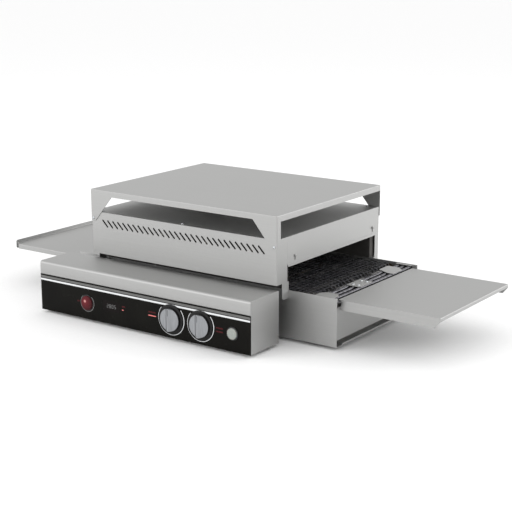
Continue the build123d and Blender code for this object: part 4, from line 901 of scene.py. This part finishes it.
# ================================================================ front panel
class OVEN_OT_panel_strip(bpy.types.Operator):
    """Runs the trim along the panel's top edge: black, grey, black, a raised bright line and black"""
    bl_idname = "oven.panel_strip"
    bl_label = "Panel strip"

    def execute(self, context):
        controls = context.scene.oven_controls
        low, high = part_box("chrome_strip")
        back, flat, proud = high.y, high.y - 0.4 * MM, low.y
        grey_top = high.z - 3 * MM
        grey_bottom = grey_top - controls.grey_band
        line_top = grey_bottom - 2 * MM
        line_bottom = line_top - controls.chrome_line
        line_middle = (line_top + line_bottom) / 2
        black, grey, chrome = 0, 1, 2
        # Each step: depth and height of a corner, and the finish of the face that starts there.
        section = [((back, high.z), black), ((flat, high.z), black), ((flat, grey_top), grey),
                   ((flat, grey_bottom), black), ((flat, line_top), chrome),
                   ((proud + 0.2 * MM, line_top - 0.5 * MM), chrome), ((proud, line_middle), chrome),
                   ((proud + 0.2 * MM, line_bottom + 0.5 * MM), chrome), ((flat, line_bottom), black),
                   ((flat, low.z), black), ((back, low.z), black)]
        bm = bmesh.new()
        ends = [[bm.verts.new((x, y, z)) for (y, z), _ in section] for x in (low.x, high.x)]
        for i, (_, tone) in enumerate(section):
            j = (i + 1) % len(section)
            bm.faces.new((ends[0][i], ends[0][j], ends[1][j], ends[1][i])).material_index = tone
        for end in ends:
            bm.faces.new(end)
        obj = mesh_object("panel_strip", bm, 30)
        for maker in (black_panel_film, grey_printed_film, chrome_plate):
            obj.data.materials.append(finish(maker))
        hand_over(obj, ("chrome_strip",))
        return {"FINISHED"}


def front_place(x, y, z):
    """Local X to the right, local Y up and local Z out of the front, from a point on the panel."""
    return Matrix.Translation((x, y, z)) @ Matrix.Rotation(math.radians(90), 4, "X")


def arc_ring(bm, place, outer, width, depth, dark_reflection_gap_degrees, steps=72):
    """Adds a flat ring with rounded shoulders, open at the top by the given angle: the gap is painted shade,
    standing for the dark reflection that the top of a whole ring shows.
    """
    start = 90 + dark_reflection_gap_degrees / 2
    sweep = 360 - dark_reflection_gap_degrees
    inner = outer - width
    section = [(outer, 0), (outer, 0.6 * depth), (outer - 0.25 * width, depth),
               (inner + 0.25 * width, depth), (inner, 0.6 * depth), (inner, 0)]
    rows = []
    for i in range(steps + 1):
        angle = math.radians(start + sweep * i / steps)
        rows.append([bm.verts.new(place @ Vector((r * math.cos(angle), r * math.sin(angle), h)))
                     for r, h in section])
    skin(bm, rows)


class OVEN_OT_dials(bpy.types.Operator):
    """Moulds both dials: skirt with a rolled edge, fluted body, rings on the panel and a pointer line"""
    bl_idname = "oven.dials"
    bl_label = "Dials"

    def execute(self, context):
        rings = bmesh.new()
        spindle_low, spindle_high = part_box("temp_spindle")
        height = (spindle_low.z + spindle_high.z) / 2
        for low, high in islands("dial_rings"):
            place = front_place((low.x + high.x) / 2, high.y, height)
            radius, depth = (high.x - low.x) / 2, high.y - low.y
            # The ring is left open at the top: the gap is painted shade for the dark reflection on the top of
            # a whole ring.
            width, dark_reflection_gap_degrees = 2.2 * MM, 96
            arc_ring(rings, place, radius, width, depth, dark_reflection_gap_degrees)
        hand_over(mesh_object("dial_ring_trims", rings, 30), ("dial_rings",))
        for kind in ("temp", "speed"):
            low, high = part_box(f"{kind}_knob")
            middle_x, middle_z = (low.x + high.x) / 2, (low.z + high.z) / 2
            place = front_place(middle_x, high.y, middle_z)
            skirt, depth = (high.x - low.x) / 2, high.y - low.y
            body = 30 * MM
            skirt_depth = 2.5 * MM
            hole = 3 * MM
            flutes, flute_depth = 36, 0.35 * MM
            bm = bmesh.new()
            turned(bm, [(hole, 0), (skirt - 0.4 * MM, 0), (skirt, 0.5 * MM), (skirt, 1.5 * MM),
                        (skirt - 0.5 * MM, 2.1 * MM), (skirt - 1.6 * MM, skirt_depth),
                        (body - 0.6 * MM, skirt_depth), (hole, skirt_depth)], place, 96)
            turned(bm, [(hole, skirt_depth), (body, skirt_depth), (body, depth - 0.4 * MM),
                        (body - 0.4 * MM, depth), (hole, depth)], place, 4 * flutes, flutes, flute_depth)
            hand_over(mesh_object(f"{kind}_dial_body", bm, 40), (f"{kind}_knob",))
            grip_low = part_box(f"{kind}_grip")[0]
            line = bmesh.new()
            line_height, line_length, line_half = 56 * MM, 16 * MM, 0.5 * MM
            top = grip_low.z + line_height
            bottom = top - line_length
            left, right = middle_x - line_half, middle_x + line_half
            prism(line, [(left, grip_low.y, top), (right, grip_low.y, top), (right, grip_low.y, bottom),
                         (left, grip_low.y, bottom)], (0, -0.25 * MM, 0))
            pointer = mesh_object(f"{kind}_pointer", line)
            add_rounding(pointer, 0.12 * MM, 2)
            hand_over(pointer, body=BODY_OF[f"{kind}_knob"], slot="knob_black", maker=moulded_black_abs)
        return {"FINISHED"}


class OVEN_OT_button_trims(bpy.types.Operator):
    """Sets the ring round the power button, left open at the top as painted shade for its dark top
    reflection, and a raised rim on the start button
    """
    bl_idname = "oven.button_trims"
    bl_label = "Button trims"

    def execute(self, context):
        face_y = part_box("control_panel")[0].y
        low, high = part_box("power_button")
        bm = bmesh.new()
        place = front_place((low.x + high.x) / 2, face_y, (low.z + high.z) / 2)
        # The ring is left open at the top: the gap is painted shade for the dark reflection on the top of a
        # whole ring.
        radius, width, depth, dark_reflection_gap_degrees = 23.6 * MM, 1.3 * MM, 1.0 * MM, 80
        arc_ring(bm, place, radius, width, depth, dark_reflection_gap_degrees)
        hand_over(mesh_object("power_ring", bm, 30), body="oven", slot="button_ring", maker=turned_steel)
        low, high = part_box("start_button")
        place = front_place((low.x + high.x) / 2, low.y, (low.z + high.z) / 2)
        rim = bmesh.new()
        turned(rim, [(9.0 * MM, 0.02 * MM), (9.4 * MM, -0.3 * MM), (9.8 * MM, 0.02 * MM),
                     (9.6 * MM, 0.25 * MM), (9.2 * MM, 0.25 * MM)], place, 56)
        hand_over(mesh_object("start_button_rim", rim, 50), body="start_push", slot="pale_plastic",
                  maker=pale_polycarbonate)
        return {"FINISHED"}


def lens_bar(bm, left, right, middle_z, height, face_y, depth):
    """Adds an indicator window: a low bar with rounded ends and a domed front."""
    radius = height / 2
    corners = stadium(Vector((left + radius, middle_z)), Vector((right - radius, middle_z)), radius, 8)
    rings = []
    for scale, reach in ((1.0, 0.0), (1.0, 0.55), (0.72, 0.95), (0.3, 1.0)):
        inset = radius * (1 - scale)
        ring = []
        for corner in corners:
            x = corner.x + (inset if corner.x < (left + right) / 2 else -inset)
            z = middle_z + (corner.y - middle_z) * scale
            ring.append(bm.verts.new((x, face_y - depth * reach, z)))
        rings.append(ring)
    skin(bm, rings)


class OVEN_OT_indicators(bpy.types.Operator):
    """Sets the small lit and unlit red windows beside the power button, the display and the dials"""
    bl_idname = "oven.indicators"
    bl_label = "Indicators"

    def execute(self, context):
        height = context.scene.oven_controls.lamp_height
        face_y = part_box("control_panel")[0].y
        temp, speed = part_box("temp_knob"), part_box("speed_knob")
        display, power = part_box("display_unit"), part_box("power_button")
        middle_z = (temp[0].z + temp[1].z) / 2
        # Each window: its left end, right end and height, placed from the control beside it.
        lit = [(temp[0].x - 36 * MM, temp[0].x - 11 * MM, middle_z - 2 * MM),
               (display[1].x + 1 * MM, display[1].x + 7 * MM, middle_z - 4 * MM)]
        unlit = [(temp[0].x - 36 * MM, temp[0].x - 11 * MM, middle_z + 7 * MM),
                 (speed[1].x + 8 * MM, speed[1].x + 30 * MM, middle_z + 3 * MM),
                 (speed[1].x + 8 * MM, speed[1].x + 30 * MM, middle_z - 6 * MM),
                 (display[1].x + 1 * MM, display[1].x + 13 * MM, middle_z + 5 * MM),
                 (power[0].x - 17 * MM, power[0].x - 8 * MM, middle_z - 4 * MM)]
        for name, rows, share, maker in (("lit_lamp_windows", lit, 0.6, lamp_red),
                                         ("unlit_lamp_windows", unlit, 1.0, lamp_dim)):
            bm = bmesh.new()
            for left, right, z in rows:
                lens_bar(bm, left, right, z, height * share, face_y, 0.7 * MM)
            hand_over(mesh_object(name, bm, 45), body="oven", slot="red_plastic", maker=maker)
        return {"FINISHED"}


SEGMENTS_OF_DIGIT = {"0": "abcdef", "2": "abdeg", "5": "acdfg", "8": "abcdefg"}


class OVEN_OT_display_digits(bpy.types.Operator):
    """Lays a row of seven-segment digits in the display window"""
    bl_idname = "oven.display_digits"
    bl_label = "Display digits"

    def execute(self, context):
        height = context.scene.oven_controls.digit_height
        width, stroke = height * 0.52, height * 0.11
        half = height / 2
        # Each segment's middle, measured from the digit's own middle, and 1 where the segment stands upright.
        places = {"a": (0, half, 0), "g": (0, 0, 0), "d": (0, -half, 0),
                  "f": (-width / 2, half / 2, 1), "b": (width / 2, half / 2, 1),
                  "e": (-width / 2, -half / 2, 1), "c": (width / 2, -half / 2, 1)}
        low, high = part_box("display_unit")
        front = low.y
        bm = bmesh.new()
        text = "2805"
        spacing = width * 1.75
        middle_x, middle_z = (low.x + high.x) / 2, (low.z + high.z) / 2
        for i, digit in enumerate(text):
            x = middle_x + (i - (len(text) - 1) / 2) * spacing
            for segment in SEGMENTS_OF_DIGIT[digit]:
                across, up, upright = places[segment]
                reach = (half if upright else width) / 2 - stroke * 0.65
                tip = stroke / 2
                shape = [(-reach - tip, 0), (-reach, tip), (reach, tip), (reach + tip, 0), (reach, -tip),
                         (-reach, -tip)]
                corners = [(x + across + (v if upright else u), front, middle_z + up + (u if upright else v))
                           for u, v in shape]
                prism(bm, corners, (0, -0.15 * MM, 0))
        hand_over(mesh_object("display_digits", bm), body="oven", slot="display_plastic",
                  maker=display_digits_grey)
        return {"FINISHED"}


# ================================================================ fasteners
def screw_head(bm, place, radius, height):
    """Adds a pan head with a cross recess: rings of a domed head whose middle rings follow the cross."""
    steps = 48
    recess, arm = radius * 0.62, radius * 0.16

    def cross_reach(angle):
        """Distance from the middle to the cross's edge in a direction."""
        folded = abs((angle + math.pi / 4) % (math.pi / 2) - math.pi / 4)
        if folded < 1e-6:
            return recess
        return min(recess / math.cos(folded), arm / math.sin(folded))

    dome = ((1.0, 0.0), (1.0, 0.35), (0.93, 0.62), (0.78, 0.86))
    rings = [[(radius * share, height * rise)] * steps for share, rise in dome]
    edge, floor = [], []
    for i in range(steps):
        reach = cross_reach(2 * math.pi * i / steps)
        edge.append((reach, height * (1 - 0.14 * (reach / radius) ** 2)))
        floor.append((reach * 0.72, 0.35 * height))
    rings += [edge, floor]
    made = []
    for ring in rings:
        row = []
        for i, (reach, rise) in enumerate(ring):
            angle = 2 * math.pi * i / steps
            row.append(bm.verts.new(place @ Vector((reach * math.cos(angle), reach * math.sin(angle), rise))))
        made.append(row)
    skin(bm, made)


class OVEN_OT_screws(bpy.types.Operator):
    """Drives a cross-recess pan head at every screw place"""
    bl_idname = "oven.screws"
    bl_label = "Screws"

    def execute(self, context):
        bm = bmesh.new()
        console_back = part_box("console_back")[1].y
        turn_per_metre = 40
        for low, high in islands("screws"):
            size = high - low
            axis = min(range(3), key=lambda i: size[i])
            outward = Vector((0, 0, 0))
            faces_back = axis == 1 and abs(low.y - console_back) < 1 * MM
            outward[axis] = 1 if axis == 2 or faces_back else -1
            middle = (low + high) / 2
            base = middle - outward * (size[axis] / 2)
            spin = Matrix.Rotation(middle.x * turn_per_metre, 4, "Z")
            screw_head(bm, axis_place(base, outward) @ spin, size[(axis + 1) % 3] / 2, size[axis])
        hand_over(mesh_object("cross_recess_screws", bm, 30), ("screws",))
        return {"FINISHED"}


class OVEN_OT_nose_clamps(bpy.types.Operator):
    """Presses the clamp plates between the transfer rods, with their screws"""
    bl_idname = "oven.nose_clamps"
    bl_label = "Transfer rod clamps"

    def execute(self, context):
        plates, screws = bmesh.new(), bmesh.new()
        plate, corner_cut = 1.5 * MM, 3 * MM
        screw_height, head, shank = 2.2 * MM, 3.6 * MM, 2.4 * MM
        for low, high in islands("nose_clips"):
            middle_y = (low.y + high.y) / 2
            side, inner_edge = (1, low.x) if low.x > 0 else (-1, high.x)
            top = high.z - screw_height
            for z in (top - plate, low.z):
                corners = [(low.x + corner_cut, low.y, z), (high.x - corner_cut, low.y, z),
                           (high.x, low.y + corner_cut, z), (high.x, high.y - corner_cut, z),
                           (high.x - corner_cut, high.y, z), (low.x + corner_cut, high.y, z),
                           (low.x, high.y - corner_cut, z), (low.x, low.y + corner_cut, z)]
                prism(plates, corners, (0, 0, plate))
            # Four screws: their distances from the clamp's inner edge, and to either side of its middle.
            for along, across in product((13 * MM, 29 * MM), (-20 * MM, 20 * MM)):
                x, y = inner_edge + side * along, middle_y + across
                screw_head(screws, Matrix.Translation((x, y, top)), head, screw_height)
                stem = Matrix.Translation((x, y, low.z + plate * 0.5))
                length = top - low.z - plate
                turned(screws, [(0, 0), (shank, 0), (shank, length), (0, length)], stem, 20)
        piece = mesh_object("clamp_plates", plates)
        add_rounding(piece, 0.4 * MM, 2)
        hand_over(piece, ("nose_clips",), maker=satin_stainless)
        hand_over(mesh_object("clamp_screws", screws, 30), body="oven", slot="zinc_steel")
        return {"FINISHED"}


# ================================================================ what is left of the CAD, and the stage
class OVEN_OT_cad_finishes(bpy.types.Operator):
    """Gives every CAD node that still shows its own finish"""
    bl_idname = "oven.cad_finishes"
    bl_label = "CAD finishes"

    def execute(self, context):
        for node, obj in NODES.items():
            obj.data.materials.clear()
            obj.data.materials.append(finish(FINISH_OF_SLOT[SLOT_OF[node]]))
        return {"FINISHED"}


def soft_box(name, place, target, size, power):
    """A large square lamp that points at the oven."""
    light = bpy.data.lights.new(name, "AREA")
    light.shape = "SQUARE"
    light.size = size
    light.energy = power
    lamp = bpy.data.objects.new(name, light)
    lamp.location = place
    lamp.rotation_euler = (Vector(target) - Vector(place)).to_track_quat("-Z", "Y").to_euler()
    bpy.context.scene.collection.objects.link(lamp)


class OVEN_OT_stage(bpy.types.Operator):
    """Sets the pale floor, the soft light and the camera"""
    bl_idname = "oven.stage"
    bl_label = "Stage"

    def execute(self, context):
        scene = context.scene
        stage = scene.oven_stage
        bm = bmesh.new()
        floor_half = 90.0
        bmesh.ops.create_grid(bm, x_segments=24, y_segments=24, size=floor_half)
        floor = mesh_object("floor", bm)
        floor.data.materials.append(finish(pale_floor))
        world = bpy.data.worlds.new("white_surroundings")
        world.use_nodes = True
        background = world.node_tree.nodes["Background"]
        background.inputs["Color"].default_value = linear("#FFFFFF")
        background.inputs["Strength"].default_value = stage.sky
        scene.world = world
        middle = (CAD_BOX[0] + CAD_BOX[1]) / 2
        soft_box("key_light", (-2.2, -3.6, 1.9), middle, 3.0, 62)
        soft_box("fill_light", (3.0, 2.8, 1.7), middle, 3.0, 70)
        scene.view_settings.view_transform = "Standard"
        camera = bpy.data.cameras.new("camera")
        camera.sensor_width = 36
        camera.lens = stage.lens
        camera.clip_end = 200
        holder = bpy.data.objects.new("camera", camera)
        holder.location = stage.eye
        holder.rotation_euler = (math.radians(90) - stage.pitch, 0, stage.azimuth)
        scene.collection.objects.link(holder)
        scene.camera = holder
        return {"FINISHED"}


class OVEN_PT_sidebar(bpy.types.Panel):
    """Lists the oven's sizes and the operators that build it"""
    bl_idname = "OVEN_PT_sidebar"
    bl_label = "Conveyor pizza oven"
    bl_space_type = "VIEW_3D"
    bl_region_type = "UI"
    bl_category = "Oven"

    def draw(self, context):
        layout = self.layout
        for name, group in SETTINGS.items():
            box = layout.box()
            for field in group.__annotations__:
                box.prop(getattr(context.scene, name), field)
        for operator in OPERATORS:
            layout.operator(operator.bl_idname)


SETTINGS = {"oven_sheet": OVEN_PG_sheet, "oven_belt": OVEN_PG_belt, "oven_controls": OVEN_PG_controls,
            "oven_stage": OVEN_PG_stage}
OPERATORS = (
    OVEN_OT_cad_finishes, OVEN_OT_sheet_metal, OVEN_OT_woven_belt, OVEN_OT_solid_parts,
    OVEN_OT_heating_terminals, OVEN_OT_feet, OVEN_OT_insulation, OVEN_OT_drive_chain,
    OVEN_OT_motor_details, OVEN_OT_panel_strip, OVEN_OT_dials, OVEN_OT_button_trims,
    OVEN_OT_indicators, OVEN_OT_display_digits, OVEN_OT_screws, OVEN_OT_nose_clamps, OVEN_OT_stage,
)


def register():
    for group in SETTINGS.values():
        bpy.utils.register_class(group)
    for name, group in SETTINGS.items():
        setattr(bpy.types.Scene, name, bpy.props.PointerProperty(type=group))
    for operator in OPERATORS:
        bpy.utils.register_class(operator)
    bpy.utils.register_class(OVEN_PT_sidebar)


def unregister():
    bpy.utils.unregister_class(OVEN_PT_sidebar)
    for operator in reversed(OPERATORS):
        bpy.utils.unregister_class(operator)
    for name in SETTINGS:
        delattr(bpy.types.Scene, name)
    for group in SETTINGS.values():
        bpy.utils.unregister_class(group)


def main():
    register()
    for operator in OPERATORS:
        folder, name = operator.bl_idname.split(".")
        getattr(getattr(bpy.ops, folder), name)()


if __name__ == "__main__":
    main()
